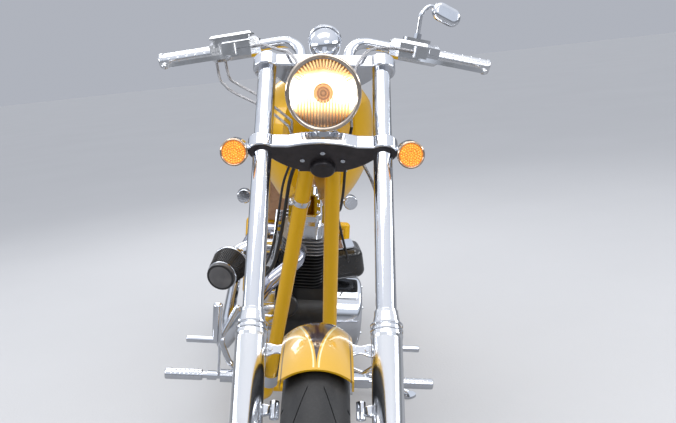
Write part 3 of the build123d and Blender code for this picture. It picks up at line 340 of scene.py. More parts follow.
# plain finishes under a film of dust, each roughness with what the dust adds to it
dustyLooks = {
    "blackEnamel": {"dust": (22, 5, 0.65), "edges": (0.5, 0.8), "cover": 0.5, "grain": (900, 2),
                    "relief": 0.00012, "rough": (0.3, 0.25), "clean": (0.012, 0.012, 0.013),
                    "dusty": (0.055, 0.052, 0.048)},
    "satinBlack": {"dust": (25, 4), "edges": (0.5, 0.85), "cover": 0.4, "grain": (1300, 2),
                   "relief": 0.0001, "rough": (0.34, 0.2), "clean": (0.016, 0.016, 0.017),
                   "dusty": (0.06, 0.058, 0.055)},
    "hoseRubber": {"dust": (40, 3), "edges": (0.5, 0.8), "cover": 0.5, "grain": (1500, 2),
                   "relief": 0.0001, "rough": (0.4, 0.15), "clean": (0.012, 0.012, 0.013),
                   "dusty": (0.05, 0.048, 0.045)},
    "capRubber": {"dust": (30, 4), "edges": (0.4, 0.8), "cover": 0.7, "grain": (900, 3),
                  "relief": 0.0002, "rough": (0.5, 0.2), "clean": (0.095, 0.092, 0.094),
                  "dusty": (0.170, 0.164, 0.160)},
}


def dusty(kind, name=None):
    look = dustyLooks[kind]
    finish = Finish(name or kind)
    dust = finish.step(finish.noise(*look["dust"]), *look["edges"])
    colour = finish.mixed(dust * look["cover"], look["clean"], look["dusty"])
    rough, rougher = look["rough"]
    return finish.surface(Base_Color=colour, Roughness=dust * rougher + rough,
                          Normal=finish.bumped(finish.noise(*look["grain"]), look["relief"]))


coilLook = {"at": (800, 134.9, 532), "lean": (12, 0, 0), "top": (0.0490, 0.0494)}


def coilFinish():        # black cover with a chrome plate along its top
    finish = Finish("coilFinish")
    bright, rough, relief = chromeParts(finish)
    top = finish.step(finish.axes(near(chassisPlace, coilLook["at"], coilLook["lean"]))[2], *coilLook["top"])
    black = finish.mixed(finish.noise(40, 3), (0.010, 0.010, 0.011), (0.030, 0.029, 0.028))
    return finish.surface(Base_Color=finish.mixed(top, black, bright), Metallic=top, Coat_Weight=0.5,
                          Roughness=rough + (1 - top) * 0.14, Normal=finish.bumped(relief, chromeRelief))


# Rubber, braid and lenses

def tyreRubber(name, place):        # fine rings on the walls, dust and scuffs all over
    finish = Finish(name)
    where = finish.mapped(place)
    x, z = finish.split(where)[::2]
    dust = finish.step(finish.noise(26, 5, 0.7, where), 0.42, 0.75)
    rings = ((x * x + z * z).maths("SQRT") * 900).maths("SINE")
    scuff = finish.step(finish.noise(300, 3, where=where), 0.35, 0.8)
    colour = finish.mixed(dust * 0.5 + scuff * 0.2, (0.012, 0.012, 0.013), (0.050, 0.048, 0.046))
    return finish.surface(Base_Color=colour, Roughness=dust * 0.16 + 0.52,
                          Normal=finish.bumped(finish.noise(1100, where=where) + rings * 0.02, 0.0002))


wovenLooks = {
    "cableBraid": {"scale": 900, "feature": "F1", "edges": (0.2, 0.6), "raised": (0.80, 0.80, 0.82),
                   "sunk": (0.26, 0.25, 0.25), "metal": 0.9, "rough": 0.22, "relief": 0.0004},
    "filterGauze": {"scale": 700, "feature": "F2", "edges": (0.3, 0.8), "raised": (0.010, 0.010, 0.010),
                    "sunk": (0.045, 0.043, 0.042), "metal": 0.0, "rough": 0.5, "relief": 0.0006},
}


def woven(name):
    look = wovenLooks[name]
    finish = Finish(name)
    weave = finish.cells(look["scale"], look["feature"])
    colour = finish.mixed(finish.step(weave, *look["edges"]), look["raised"], look["sunk"])
    return finish.surface(Base_Color=colour, Metallic=look["metal"], Roughness=weave * 0.2 + look["rough"],
                          Normal=finish.bumped(weave, look["relief"]))


def lineRubber():        # the black lines beside the downtube, with a faint weave
    finish = Finish("lineRubber")
    weave = finish.cells(1100)
    colour = finish.mixed(finish.step(weave, 0.25, 0.6), (0.045, 0.045, 0.047), (0.012, 0.012, 0.013))
    return finish.surface(Base_Color=colour, Metallic=0.1, Roughness=finish.noise(1500) * 0.1 + 0.34,
                          Normal=finish.bumped(weave, 0.0002))


def redLens():
    finish = Finish("redLens")
    x, y = finish.axes(tailPlace)[:2]
    ribs = (x * 900).maths("SINE") * (y * 900).maths("SINE")
    colour = finish.mixed(ribs * 0.5 + 0.5, (0.30, 0.004, 0.006), (0.62, 0.012, 0.012))
    return finish.surface(Base_Color=colour, Roughness=finish.noise(30) * 0.05 + 0.08, Emission_Color=colour,
                          Emission_Strength=0.12, Coat_Weight=0.8, Normal=finish.bumped(ribs, 0.0006))


chrome = plainChrome("polishedChrome")
satinChrome = plainChrome("satinChrome")
paint = yellowPaint()
enamel = dusty("blackEnamel")
satin = dusty("satinBlack")
rubber = dusty("hoseRubber")
braid = woven("cableBraid")
dress(chrome, "front_axle", "fork_tubes", "top_clamp", "fender_brackets", "front_caliper", "rear_caliper",
      "handlebar", "mirror", "headlight_shell", "speedometer", "front_rim", "rear_rim", "rear_axle",
      "rocker_covers", "pushrod_tubes", "cam_cover", "carburettor", "primary_cover", "tank_cap",
      "right_foot_control", "left_foot_control", "side_stand", "rear_pulley", "oil_tank", "rear_signals",
      "front_signals")
dress(satinChrome, "fork_legs", "grips", "gearbox", "right_hand_control", "left_hand_control")
dress(paintedShadeBelow("clampChromeShadedBelow"), "bottom_clamp")
dress(paintedShadeBelow("stemShadedBelow"), "steering_stem")
dress(exhaustChrome(), "exhaust_pipes")
dress(paint, "frame_backbone", "frame_downtubes", "frame_rails", "swingarm", "fuel_tank", "rear_fender")
dress(fenderPaint(), "front_fender")
dress(enamel, "cylinders", "oil_filter")
dress(castAluminium(), "cylinder_heads")
dress(dusty("blackEnamel", "darkCase"), "crankcase")
dress(satin, "regulator", "plate_bracket", "air_filter")
dress(coilFinish(), "coil_cover")
dress(rubber, "drive_belt")
dress(lineRubber(), "downtube_hose")
dress(braid, "handlebar_cables", "brake_hose")
dress(brakeSteel(), "front_disc", "rear_disc")
dress(redLens(), "tail_light")
print("finishes done")


# Modelling: pieces are shaped in millimetres on their own axes, then settled at their place

def cleared():        # back in object mode with nothing selected
    if bpy.context.object and bpy.context.object.mode != "OBJECT":
        bpy.ops.object.mode_set(mode="OBJECT")
    bpy.ops.object.select_all(action="DESELECT")


def alone(piece):        # makes it the one piece that is selected and active
    cleared()
    piece.select_set(True)
    bpy.context.view_layer.objects.active = piece


def begin(name, kind, **size):        # a primitive to start from, its place already in its mesh
    cleared()
    getattr(bpy.ops.mesh, "primitive_" + kind + "_add")(**size)
    bpy.ops.object.transform_apply(location=True, rotation=True, scale=True)
    piece = bpy.context.object
    piece.name = name
    return piece


def box(name, size, at=(0, 0, 0)):
    return begin(name, "cube", size=1, location=at, scale=size)


def rod(name, sides, radius, length, at=(0, 0, 0), turn=0):        # turned about y, by degrees
    return begin(name, "cylinder", vertices=sides, radius=radius, depth=length, location=at,
                 rotation=(0, radians(turn), 0))


def choose(piece, test, kind="FACE"):        # selects faces or points by place and normal, in edit mode
    bpy.ops.object.mode_set(mode="EDIT")
    bpy.ops.mesh.select_mode(type=kind)
    bpy.ops.mesh.select_all(action="DESELECT")
    bpy.ops.object.mode_set(mode="OBJECT")
    if kind == "FACE":
        for face in piece.data.polygons:
            face.select = test(face.center, face.normal)
    else:
        for vertex in piece.data.vertices:
            vertex.select = test(vertex.co, vertex.normal)
    bpy.ops.object.mode_set(mode="EDIT")


def pushed(distance, narrowing=0.0):        # insets what is selected, then pushes it along its normal
    if narrowing:
        bpy.ops.mesh.inset(thickness=narrowing)
    bpy.ops.mesh.extrude_region_shrink_fatten(TRANSFORM_OT_shrink_fatten={"value": distance})


def spun(name, points, steps=48):        # a chain of points spun round the z axis, its two ends on it or met
    piece = begin(name, "plane", size=1)
    bpy.ops.object.mode_set(mode="EDIT")
    bpy.ops.mesh.select_mode(type="VERT")
    bpy.ops.mesh.select_all(action="SELECT")
    bpy.ops.mesh.merge(type="CENTER")
    bpy.ops.transform.translate(value=points[0])
    for before, after in zip(points, points[1:]):
        step = [b - a for a, b in zip(before, after)]
        bpy.ops.mesh.extrude_vertices_move(TRANSFORM_OT_translate={"value": step})
    bpy.ops.mesh.select_all(action="SELECT")
    bpy.ops.mesh.spin(steps=steps, angle=2 * pi, center=(0, 0, 0), axis=(0, 0, 1))
    bpy.ops.mesh.select_all(action="SELECT")
    bpy.ops.mesh.remove_doubles(threshold=0.01)
    bpy.ops.mesh.normals_make_consistent(inside=False)
    bpy.ops.object.mode_set(mode="OBJECT")
    return piece


def turned(name, outline, steps=48):        # outline: radius and height of each corner
    return spun(name, [(radius, 0, height) for radius, height in outline], steps)


def bevelled(piece, width, segments=2, angle=40):
    bpy.ops.object.mode_set(mode="OBJECT")
    rounding = piece.modifiers.new("rounding", "BEVEL")
    rounding.width = width
    rounding.segments = segments
    rounding.limit_method = "ANGLE"
    rounding.angle_limit = radians(angle)
    bpy.ops.object.modifier_apply(modifier="rounding")
    return piece


def hollowed(piece, test, rim):        # opens a box from one side to the other, leaving a rim
    choose(piece, test)
    bpy.ops.mesh.inset(thickness=rim)
    bpy.ops.mesh.bridge_edge_loops()


def joined(name, pieces):        # the first piece takes in the others
    cleared()
    for piece in pieces:
        piece.select_set(True)
    bpy.context.view_layer.objects.active = pieces[0]
    if len(pieces) > 1:
        bpy.ops.object.join()
    pieces[0].name = name
    return pieces[0]


def repeated(name, piece, places):        # copies of a shape, each with its own mesh, joined into one piece
    alone(piece)
    bpy.ops.object.transform_apply(location=True, rotation=True, scale=True)
    copies = []
    for place in places:
        copy = piece.copy()
        copy.data = piece.data.copy()
        copy.data.transform(place)
        scene.collection.objects.link(copy)
        copies.append(copy)
    bpy.data.objects.remove(piece)
    return joined(name, copies)


def around(count, radius, height=0.0, start=0.0, sweep=360.0, lean=0.0):        # places round the z axis
    share = count if sweep == 360.0 else count - 1
    spot = placeOf((radius, 0, height), (0, lean, 0))
    return [Matrix.Rotation(radians(start + sweep * i / share), 4, "Z") @ spot for i in range(count)]


def settle(piece, place, body, finish=chrome, smooth=35):
    alone(piece)
    bpy.ops.object.transform_apply(location=True, rotation=True, scale=True)
    piece.data.transform(place @ Matrix.Scale(0.001, 4))
    bpy.ops.object.shade_smooth_by_angle(angle=radians(smooth))
    coat(piece, finish)
    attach(piece, body)
    return piece


# Tyres: a full section spun in sheared columns, so that the grooves follow the mesh
# lengths in millimetres, grooves and sipes by degrees across the section, ribs by their share of it

tyreSizes = {
    "front": {"outer": 350, "crown": 52, "bead": 262, "rows": 62, "columns": 480, "pitches": 15, "sweep": -20,
              "groove": (11, 56), "sipe": (66, 84), "bend": 62, "depth": 4.0, "rib": 0.9, "phase": 1},
    "rear": {"outer": 328, "crown": 125, "bead": 226, "rows": 88, "columns": 384, "pitches": 16, "sweep": -18,
             "groove": (5, 44), "sipe": (50, 60), "bend": 50, "depth": 5.0, "rib": 1.2, "phase": 0},
}
wallRibs = ((0.80, 0.84), (0.90, 0.93))
grooveEase = 1.3
beadWidth = 0.8


def makeTyre(name, size, place, body, finish, node):
    hub = size["outer"] - size["crown"]
    lip = acos((size["bead"] - hub) / size["crown"])
    inner = size["bead"] + 1
    points = []

    def ahead(angle):        # how far a groove has run forward at this angle across the tread
        share = min(1.0, abs(angle) / radians(size["bend"]))
        return radians(size["sweep"]) * sin(share * pi / 2) ** grooveEase

    def point(radius, angle, height):
        return radius * cos(ahead(angle)), radius * sin(ahead(angle)), height

    for row in range(size["rows"] + 1):
        angle = lip * (2 * row / size["rows"] - 1)
        ribbed = any(low < abs(angle) / lip < high for low, high in wallRibs)
        reach = size["crown"] + (size["rib"] if ribbed else 0)
        points.append(point(hub + reach * cos(angle), angle, reach * sin(angle)))
    edge = beadWidth * points[-1][2]
    points += [point(inner, lip, edge), point(inner, lip, -edge), points[0]]
    piece = spun(name, points, size["columns"])
    pitch = 2 * pi / size["pitches"]
    column = 2 * pi / size["columns"]

    def inGroove(centre, normal):
        across = atan2(centre.z, sqrt(centre.x ** 2 + centre.y ** 2) - hub)
        turn = (atan2(centre.y, centre.x) - ahead(across)) % pitch
        wide = degrees(abs(across))
        if normal.dot(centre) < 0:
            return False
        if turn < column and size["groove"][0] < wide < size["groove"][1]:
            return True
        return abs(turn - pitch / 2) < column / 2 and size["sipe"][0] < wide < size["sipe"][1]

    choose(piece, inGroove)
    pushed(-size["depth"])
    bpy.ops.object.mode_set(mode="OBJECT")
    piece.data.transform(placeOf((0, 0, 0), (90, 0, 0)) @ placeOf((0, 0, 0), (0, 0, size["phase"])))
    settle(piece, place, body, finish, 28)
    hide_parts(node)


makeTyre("frontTread", tyreSizes["front"], frontWheelPlace, "front_wheel",
         tyreRubber("frontTyreRubber", frontWheelPlace), "front_tyre")
makeTyre("rearTread", tyreSizes["rear"], rearWheelPlace, "rear_wheel",
         tyreRubber("rearTyreRubber", rearWheelPlace), "rear_tyre")
print("tyres done")


# Headlight: dish, fluted lens, bulb shield and glass

lampSizes = {
    "dish": [(0, -3.1), (22, -3.0), (42, -1.2), (58, 3.0), (66, 7.5), (70.2, 11.6), (70.2, -3.4), (0, -3.4)],
    "shield": [(0, 14.4), (8, 14.0), (9, 12.4), (11, 12.4), (12, 13.4), (18, 11.0), (20.6, 7.5), (21, 4),
               (19, 4), (0, 4)],
    "bezel": [(71.4, 15.4), (73.2, 17.6), (76.6, 18.2), (79.6, 16.6), (80.4, 13.6), (80.2, 9.8), (79.2, 9.8),
              (79.2, 15.0), (72.2, 15.0), (71.4, 15.4)],
    "stalk": {"radius": 2.4, "length": 50, "at": (42, 0, 6)},
    "glass": {"radius": 70.4, "rise": 13, "foot": 7, "lip": 5.0, "wall": 1.6, "within": 0.985, "steps": 10},
    "flutes": {"width": 3.6, "gap": 6.6, "within": 67.2, "top": 17, "slope": 0.12, "shortest": 8,
               "height": 11.2},
    "rimFlutes": {"count": 21, "turn": 6.2, "radius": 61, "length": 11, "narrow": 0.9},
}
lampGlowStops = [(0.0, (1.0, 0.93, 0.74)), (0.35, (1.0, 0.78, 0.42)), (0.7, (0.62, 0.36, 0.13)),
             (1.0, (0.30, 0.17, 0.08))]


def lampDishPaintedGlow():        # painted light of the lit dish: a white heart, brown towards the top and bottom rims, painted into its colour and its glow
    finish = Finish("lampDishPaintedGlow")
    y, z = finish.axes(lampPlace)[1:]
    above = finish.step(z + abs(y) * 0.18, 0.030, 0.062)
    below = finish.step(z, -0.062, -0.012, (1, 0))
    ripple = finish.noise(120) * 0.10
    fade = above * 0.95 + below * 0.95 + ripple
    colour = finish.ramp(fade, lampGlowStops)
    glow = finish.scaled(colour, finish.step(fade, 0.0, 0.9, (3.4, 0.20)))
    return finish.surface(Base_Color=colour, Metallic=1.0, Roughness=ripple + 0.12, Emission_Color=glow,
                          Emission_Strength=1.0, Normal=finish.bumped(finish.noise(200), 0.0003))


def fluteGlass():
    finish = Finish("fluteGlass")
    # painted light: the flutes glow warm, painted dark brown and dimmer towards the bottom; the shield stalk
    # takes the same finish
    low = finish.step(finish.axes(lampPlace)[2], -0.062, -0.018, (1, 0))
    colour = finish.mixed(low, (0.95, 0.66, 0.30), (0.20, 0.13, 0.09))
    return finish.surface(Base_Color=colour, Metallic=0.6, Roughness=finish.noise(150) * 0.15 + 0.12,
                          Emission_Color=finish.scaled(colour, 0.75 - low * 0.4), Emission_Strength=1.0,
                          Coat_Weight=1.0)


def bulbBronze():
    # painted light: the bulb shield glows with its own colour, though it gives no light
    finish = Finish("bulbBronze")
    y, z = finish.axes(lampPlace)[1:]
    rings = ((y * y + z * z).maths("SQRT") * 900).maths("SINE")
    colour = finish.mixed(rings * 0.5 + 0.5, (0.34, 0.13, 0.03), (0.66, 0.32, 0.10))
    return finish.surface(Base_Color=colour, Metallic=0.7, Roughness=finish.noise(200) * 0.2 + 0.22,
                          Emission_Color=colour, Emission_Strength=0.45)


def clearGlass(name, tint):
    finish = Finish(name)
    edge = finish.add("ShaderNodeLayerWeight", {}, {"Blend": 0.35}, out="Fresnel")
    smear = finish.step(finish.noise(30, 4), 0.45, 0.8)
    return finish.surface(Base_Color=finish.mixed(smear, tint, (0.9, 0.88, 0.82)),
                          Roughness=smear * 0.06 + 0.02,
                          Alpha=edge * 0.55 + smear * 0.05 + 0.06, Coat_Weight=1.0)


def makeFlutes(finish):        # upright bars across the lens, and short ones along its top rim
    size = lampSizes["flutes"]
    rim = lampSizes["rimFlutes"]
    flute = rod("flute", 10, size["width"] / 2, 1, turn=90)
    choose(flute, lambda centre, normal: abs(normal.x) > 0.9)
    pushed(0.25, 0.5)        # rounded ends
    places = []
    count = int(size["within"] / size["gap"])
    for column in range(-count, count + 1):
        side = column * size["gap"]
        bottom = sqrt(size["within"] ** 2 - side ** 2)
        top = size["top"] + abs(side) * size["slope"]
        if bottom - top > size["shortest"]:
            stretch = Matrix.Diagonal((bottom - top, 1, 1, 1))
            places.append(placeOf(((top + bottom) / 2, side, size["height"])) @ stretch)
    stretch = Matrix.Diagonal((rim["length"], rim["narrow"], 1, 1))
    for i in range(rim["count"]):
        turn = placeOf((0, 0, 0), (0, 0, 180 + (i - (rim["count"] - 1) / 2) * rim["turn"]))
        places.append(turn @ placeOf((rim["radius"], 0, size["height"])) @ stretch)
    settle(repeated("lensFlutes", flute, places), lampAxis, "steering", finish, 50)


def makeLampGlass():        # a shallow dome
    size = lampSizes["glass"]
    radius = size["radius"]
    dome = (radius ** 2 + size["rise"] ** 2) / (2 * size["rise"])
    edge = asin(radius / dome)
    top = size["foot"] + size["rise"]
    angles = [edge * i / size["steps"] for i in range(size["steps"] + 1)]
    outside = [(dome * sin(angle), top - dome + dome * cos(angle)) for angle in angles]
    inside = [(r * size["within"], z - size["wall"]) for r, z in reversed(outside)]
    lip = [(radius, size["lip"]), (radius * size["within"], size["lip"])]
    glass = turned("lampGlass", outside + lip + inside, 72)
    settle(glass, lampAxis, "steering", clearGlass("clearGlass", (1.0, 0.97, 0.90)), 40)
    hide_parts("headlight_lens")


def makeHeadlight():
    stalk = lampSizes["stalk"]
    flutes = fluteGlass()
    settle(turned("lampDish", lampSizes["dish"], 72), lampAxis, "steering", lampDishPaintedGlow(), smooth=60)
    makeFlutes(flutes)
    settle(turned("bulbShield", lampSizes["shield"], 32), lampAxis, "steering", bulbBronze(), smooth=40)
    shieldStalk = bevelled(rod("shieldStalk", 12, stalk["radius"], stalk["length"], stalk["at"], 90), 0.6)
    settle(shieldStalk, lampAxis, "steering", flutes, smooth=40)
    makeLampGlass()
    bezel = turned("bezelRing", lampSizes["bezel"], 96)
    settle(bezel, lampAxis, "steering", plainChrome("bezelChrome"), smooth=60)


makeHeadlight()
print("headlight done")


# Turn signals: a ring of diodes behind a bright rim on each round housing

signalSizes = {"lens": 24.4, "face": 22.2, "back": 21.0, "diode": 2.1,
               "rows": [(0, 1), (5.4, 7), (10.8, 13), (16.2, 19), (21.0, 25)],        # radius and count
               "rim": [(24.2, 21.6), (24.9, 24.6), (26.4, 25.6), (28.4, 24.6), (29.4, 21.6), (29.4, 17.0),
                       (28.7, 17.0), (28.7, 21.4), (24.2, 21.6)],
               "onFork": (16.3, 187, 780.9), "onChassis": (60, 216, 600)}


def amberFinish(name, glow):
    finish = Finish(name)
    dots = finish.cells(420)
    colour = finish.mixed(finish.step(dots, 0.1, 0.6), (1.0, 0.50, 0.06), (0.62, 0.20, 0.02))
    return finish.surface(Base_Color=colour, Roughness=finish.noise(300) * 0.1 + 0.12, Emission_Color=colour,
                          Emission_Strength=glow, Coat_Weight=0.8, Normal=finish.bumped(dots, 0.0004))


def bronzeRim():
    finish = Finish("bronzeRim")
    smear = finish.noise(60, 3)
    colour = finish.mixed(smear, (0.66, 0.48, 0.33), (0.42, 0.29, 0.19))
    return finish.surface(Base_Color=colour, Metallic=0.9, Roughness=smear * 0.12 + 0.10, Coat_Weight=1.0)


def makeSignal(name, place, body, lensFinish, diodeFinish, rimFinish, slot):
    size = signalSizes
    edge, face, back = size["lens"], size["face"], size["back"]
    outline = [(0, face), (edge - 1, face), (edge, face + 0.4), (edge, back), (0, back)]
    settle(turned(name + "Lens", outline), place, body, lensFinish)
    diode = begin("diode", "uv_sphere", segments=10, ring_count=6, radius=size["diode"])
    choose(diode, lambda centre, normal: centre.z < 0)
    bpy.ops.mesh.delete(type="FACE")
    spots = [spot for radius, count in size["rows"] for spot in around(count, radius, face)]
    settle(repeated(name + "Diodes", diode, spots), place, body, diodeFinish, 60)
    settle(turned(name + "Rim", size["rim"], 64), place, body, rimFinish, smooth=60)


def makeSignals():
    front = (amberFinish("amberLens", 0.5), amberFinish("amberDiode", 1.5), bronzeRim(), "amber_lens")
    x, y, z = signalSizes["onFork"]
    for side, name in ((1, "leftSignal"), (-1, "rightSignal")):
        place = steered(forkPlace @ metres((x, side * y, z)), (0, 90, 0))
        makeSignal(name, place, "steering", *front)
    rear = (redLens(), amberFinish("rearDiode", 0.3), chrome, "red_lens")
    x, y, z = signalSizes["onChassis"]
    for side, name in ((1, "leftRearSignal"), (-1, "rightRearSignal")):
        makeSignal(name, near(chassisPlace, (x, side * y, z), (0, -90, 0)), "chassis", *rear)


makeSignals()
print("signals done")


# Fasteners: each seat is at z = 0

def hexBolt(size, height):        # six-sided head on a washer
    head = bevelled(rod("hexBolt", 6, size, height, (0, 0, height / 2 + 1)), size * 0.12, 1)
    washer = bevelled(rod("washer", 20, size * 1.25, 1.4, (0, 0, 0.6)), 0.3, 1)
    return joined("hexBolt", [head, washer])


def capScrew(radius, height):        # round head with a sunk socket
    screw = rod("capScrew", 18, radius, height, (0, 0, height / 2))
    choose(screw, lambda centre, normal: normal.z > 0.9)
    pushed(-height * 0.55, radius * 0.42)
    return bevelled(screw, radius * 0.12, 1, 60)


def domeNut(size):        # acorn nut
    nut = bevelled(rod("domeNut", 6, size, size * 0.8, (0, 0, size * 0.4)), size * 0.1, 1)
    dome = begin("dome", "uv_sphere", segments=16, ring_count=8, radius=size * 0.74,
                 location=(0, 0, size * 0.85))
    return joined("domeNut", [nut, dome])


# centres of the primary cover's ends by x and z, the heights of the seats, screws by radius and height
engineSizes = {
    "crank": (790, 355), "clutch": (545, 340), "primarySeat": 196.6, "primaryRadii": (93, 79),
    "primaryCount": 4, "primaryShares": (0.36, 0.66), "primaryScrew": (4.6, 4.6),
    "derbySeat": 203.7, "derby": {"count": 5, "radius": 56, "start": 18},
    "camSeat": -117.7, "camArc": {"count": 5, "radius": 60, "start": -160, "sweep": 140},
    "camSpots": ((-58, 40), (58, 40), (-56, 74), (56, 74), (0, 80)), "camScrew": (4.2, 4.4),
    "domeSeat": -129.7, "dome": {"count": 5, "radius": 33, "start": 90},
    "cylinderAngle": 22.5, "studSeat": 371.6, "stud": (55.8, 44.62), "nut": 4.6,
    "rockerSeat": 404.6, "rockerScrew": (4.4, 5.0),
    "rockerSpots": ((-42, -30), (42, -30), (-42, 30), (42, 30), (0, -32), (0, 32)),
}


def alongPrimary():        # screws just inside the primary cover's rounded edge
    size = engineSizes
    (ax, az), (bx, bz) = size["crank"], size["clutch"]
    front, back = size["primaryRadii"]
    spots = []
    for i in range(size["primaryCount"]):
        angle = radians(-80 + 160 * i / (size["primaryCount"] - 1))
        spots.append((ax + front * cos(angle), az + front * sin(angle)))
        spots.append((bx - back * cos(angle), bz + back * sin(angle)))
    for share in size["primaryShares"]:
        reach = front + (back - front) * share
        for up in (1, -1):
            spots.append((ax + (bx - ax) * share, az + (bz - az) * share + up * reach))
    return spots


def makeEngineFasteners():
    size = engineSizes
    leftOut = (-90, 0, 0)        # z towards the rider's left
    rightOut = (90, 0, 0)        # z towards the rider's right
    crankX, crankZ = size["crank"]
    clutchX, clutchZ = size["clutch"]
    spots = [placeOf((x, size["primarySeat"], z), leftOut) for x, z in alongPrimary()]
    derby = placeOf((clutchX, size["derbySeat"], clutchZ), leftOut)
    spots += [derby @ place for place in around(**size["derby"])]
    settle(repeated("primaryScrews", capScrew(*size["primaryScrew"]), spots), chassisPlace, "chassis")
    cam = placeOf((crankX, size["camSeat"], crankZ), rightOut)
    dome = placeOf((crankX, size["domeSeat"], crankZ), rightOut)
    spots = [cam @ place for place in around(**size["camArc"])]
    spots += [cam @ placeOf((x, y, 0)) for x, y in size["camSpots"]]
    spots += [dome @ place for place in around(**size["dome"])]
    settle(repeated("camScrews", capScrew(*size["camScrew"]), spots), chassisPlace, "chassis")
    spots = []
    studs = []
    deep, wide = size["stud"]
    for lean in (size["cylinderAngle"], -size["cylinderAngle"]):
        cylinder = placeOf((crankX, 0, crankZ), (0, lean, 0))
        studs += [cylinder @ placeOf((x, y, size["studSeat"])) for x in (-deep, deep) for y in (-wide, wide)]
        spots += [cylinder @ placeOf((x, y, size["rockerSeat"])) for x, y in size["rockerSpots"]]
    settle(repeated("rockerScrews", capScrew(*size["rockerScrew"]), spots), chassisPlace, "chassis")
    settle(repeated("rockerNuts", domeNut(size["nut"]), studs), chassisPlace, "chassis")


forkSizes = {"clampSeat": 789.4, "clampSpots": ((-22, 44), (-22, -44), (6, 0)), "clampScrew": (5.4, 5.0),
             "legAt": 130, "bandsAt": (376, 388),
             "band": [(30.8, -2.2), (31.9, -1.4), (31.9, 1.4), (30.8, 2.2), (30.8, -2.2)]}


def makeForkFasteners():
    spots = [placeOf((x, y, forkSizes["clampSeat"]), (180, 0, 0)) for x, y in forkSizes["clampSpots"]]
    settle(repeated("clampScrews", capScrew(*forkSizes["clampScrew"]), spots), forkPlace, "steering")
    collars = [placeOf((0, side * forkSizes["legAt"], up)) for side in (1, -1) for up in forkSizes["bandsAt"]]
    band = turned("legBand", forkSizes["band"], 64)
    settle(repeated("legBands", band, collars), forkPlace, "steering", smooth=50)


bracketSizes = {"strapUp": 337, "strap": (6.4, 41.2, 26), "reach": 58.4, "waist": 0.42, "bow": 3.0, "cuts": 5,
                "boltsAt": (92, 66), "boltSeat": 4.4, "bolt": (5.4, 4.2),
                "lugUp": 219, "lugAt": 79.6, "lugRadius": 9, "lugLength": 34, "drill": 4,
                "arm": (10, 18, 16), "armAt": 91.6, "flareAt": 99.6, "flare": (1.35, 1, 1.5)}


def makeBrackets():        # a waisted strap from each leg to the fender, and a drilled lug on an arm below it
    size = bracketSizes
    parts = []
    length = size["strap"][1]
    for side in (1, -1):
        strap = box("strap", size["strap"], (0, side * (size["reach"] + length / 2), size["strapUp"]))
        choose(strap, lambda at, normal: True)
        bpy.ops.mesh.subdivide(number_cuts=size["cuts"])
        bpy.ops.object.mode_set(mode="OBJECT")
        for vertex in strap.data.vertices:        # waist between the two ends, bowed a little forwards
            share = (abs(vertex.co.y) - size["reach"]) / length
            waist = 1 - size["waist"] * sin(pi * share) ** 2
            vertex.co.z = size["strapUp"] + (vertex.co.z - size["strapUp"]) * waist
            vertex.co.x += size["bow"] * sin(pi * share)
        parts.append(bevelled(strap, 1.2))
        lug = rod("lug", 28, size["lugRadius"], size["lugLength"], (0, side * size["lugAt"], size["lugUp"]))
        choose(lug, lambda at, normal: abs(normal.z) > 0.9)
        pushed(-size["drill"], size["drill"])        # drilled ends
        parts.append(bevelled(lug, 0.8, 2, 60))
        arm = box("lugArm", size["arm"], (0, side * size["armAt"], size["lugUp"]))
        choose(arm, lambda at, normal: normal.y * side > 0.9)
        middle = (0, side * size["flareAt"], size["lugUp"])
        bpy.ops.transform.resize(value=size["flare"], center_override=middle)
        parts.append(bevelled(arm, 2.5, 3))
    spots = [placeOf((size["boltSeat"], side * y, size["strapUp"]), (0, 90, 0))
             for side in (1, -1) for y in size["boltsAt"]]
    parts.append(repeated("strapBolts", hexBolt(*size["bolt"]), spots))
    straps = settle(joined("fenderStraps", parts), forkPlace, "steering")
    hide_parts("fender_brackets")


makeEngineFasteners()
makeForkFasteners()
makeBrackets()
print("fasteners done")


# Pod filter: pleats round the cone, a clamp band, and the moulded cap

filterSizes = {
    "at": (950, -248, 492), "axis": (0.932146, -0.270623, -0.240554), "narrowing": 12, "run": 90,
    "pleats": {"count": 52, "radius": 49.4, "height": -58}, "pleat": (5.0, 3.0, 78), "fold": 0.25,
    "screw": (6, 14, 8), "screwAt": (59.4, 0, -95.5),
    "cap": [(0, 0.8), (34, 0.8), (36, -0.2), (38.5, -0.2), (41.6, -2.4), (42.8, -6), (43.4, -14.5),
            (40, -14.5), (40, -2), (0, -2)],
    "trim": [(43.2, -12.4), (45.6, -12.8), (46.0, -15), (45.2, -17), (43.0, -17.2), (43.2, -12.4)],
    "band": [(56.2, -101), (57.4, -100), (57.4, -91), (56.2, -90), (55, -90), (55, -101), (56.2, -101)],
}


def makeFilter():
    size = filterSizes
    place = facing(chassisPlace, size["at"], size["axis"])        # z forwards along it, the cap at z = 0
    slope = degrees(atan2(size["narrowing"], size["run"]))
    pleat = box("pleat", size["pleat"])
    choose(pleat, lambda centre, normal: normal.x > 0.9)
    bpy.ops.transform.resize(value=(1, size["fold"], 1))
    bevelled(pleat, 0.5)
    spots = around(**size["pleats"], lean=-slope)
    settle(repeated("filterPleats", pleat, spots), place, "chassis", woven("filterGauze"))
    settle(turned("filterCap", size["cap"], 64), place, "chassis", dusty("capRubber"), 50)
    settle(turned("filterTrim", size["trim"], 64), place, "chassis", smooth=60)
    settle(turned("filterBand", size["band"], 64), place, "chassis", smooth=60)
    screw = bevelled(box("bandScrew", (1, 1, 1)), 1.4)        # rounded as a cube, then drawn out
    bpy.ops.transform.resize(value=size["screw"])
    bpy.ops.transform.translate(value=size["screwAt"])
    settle(screw, place, "chassis")


makeFilter()
print("filter done")


# Seat: the plain pad swollen by a cloth simulation, then sewn into channels with piping along its edges

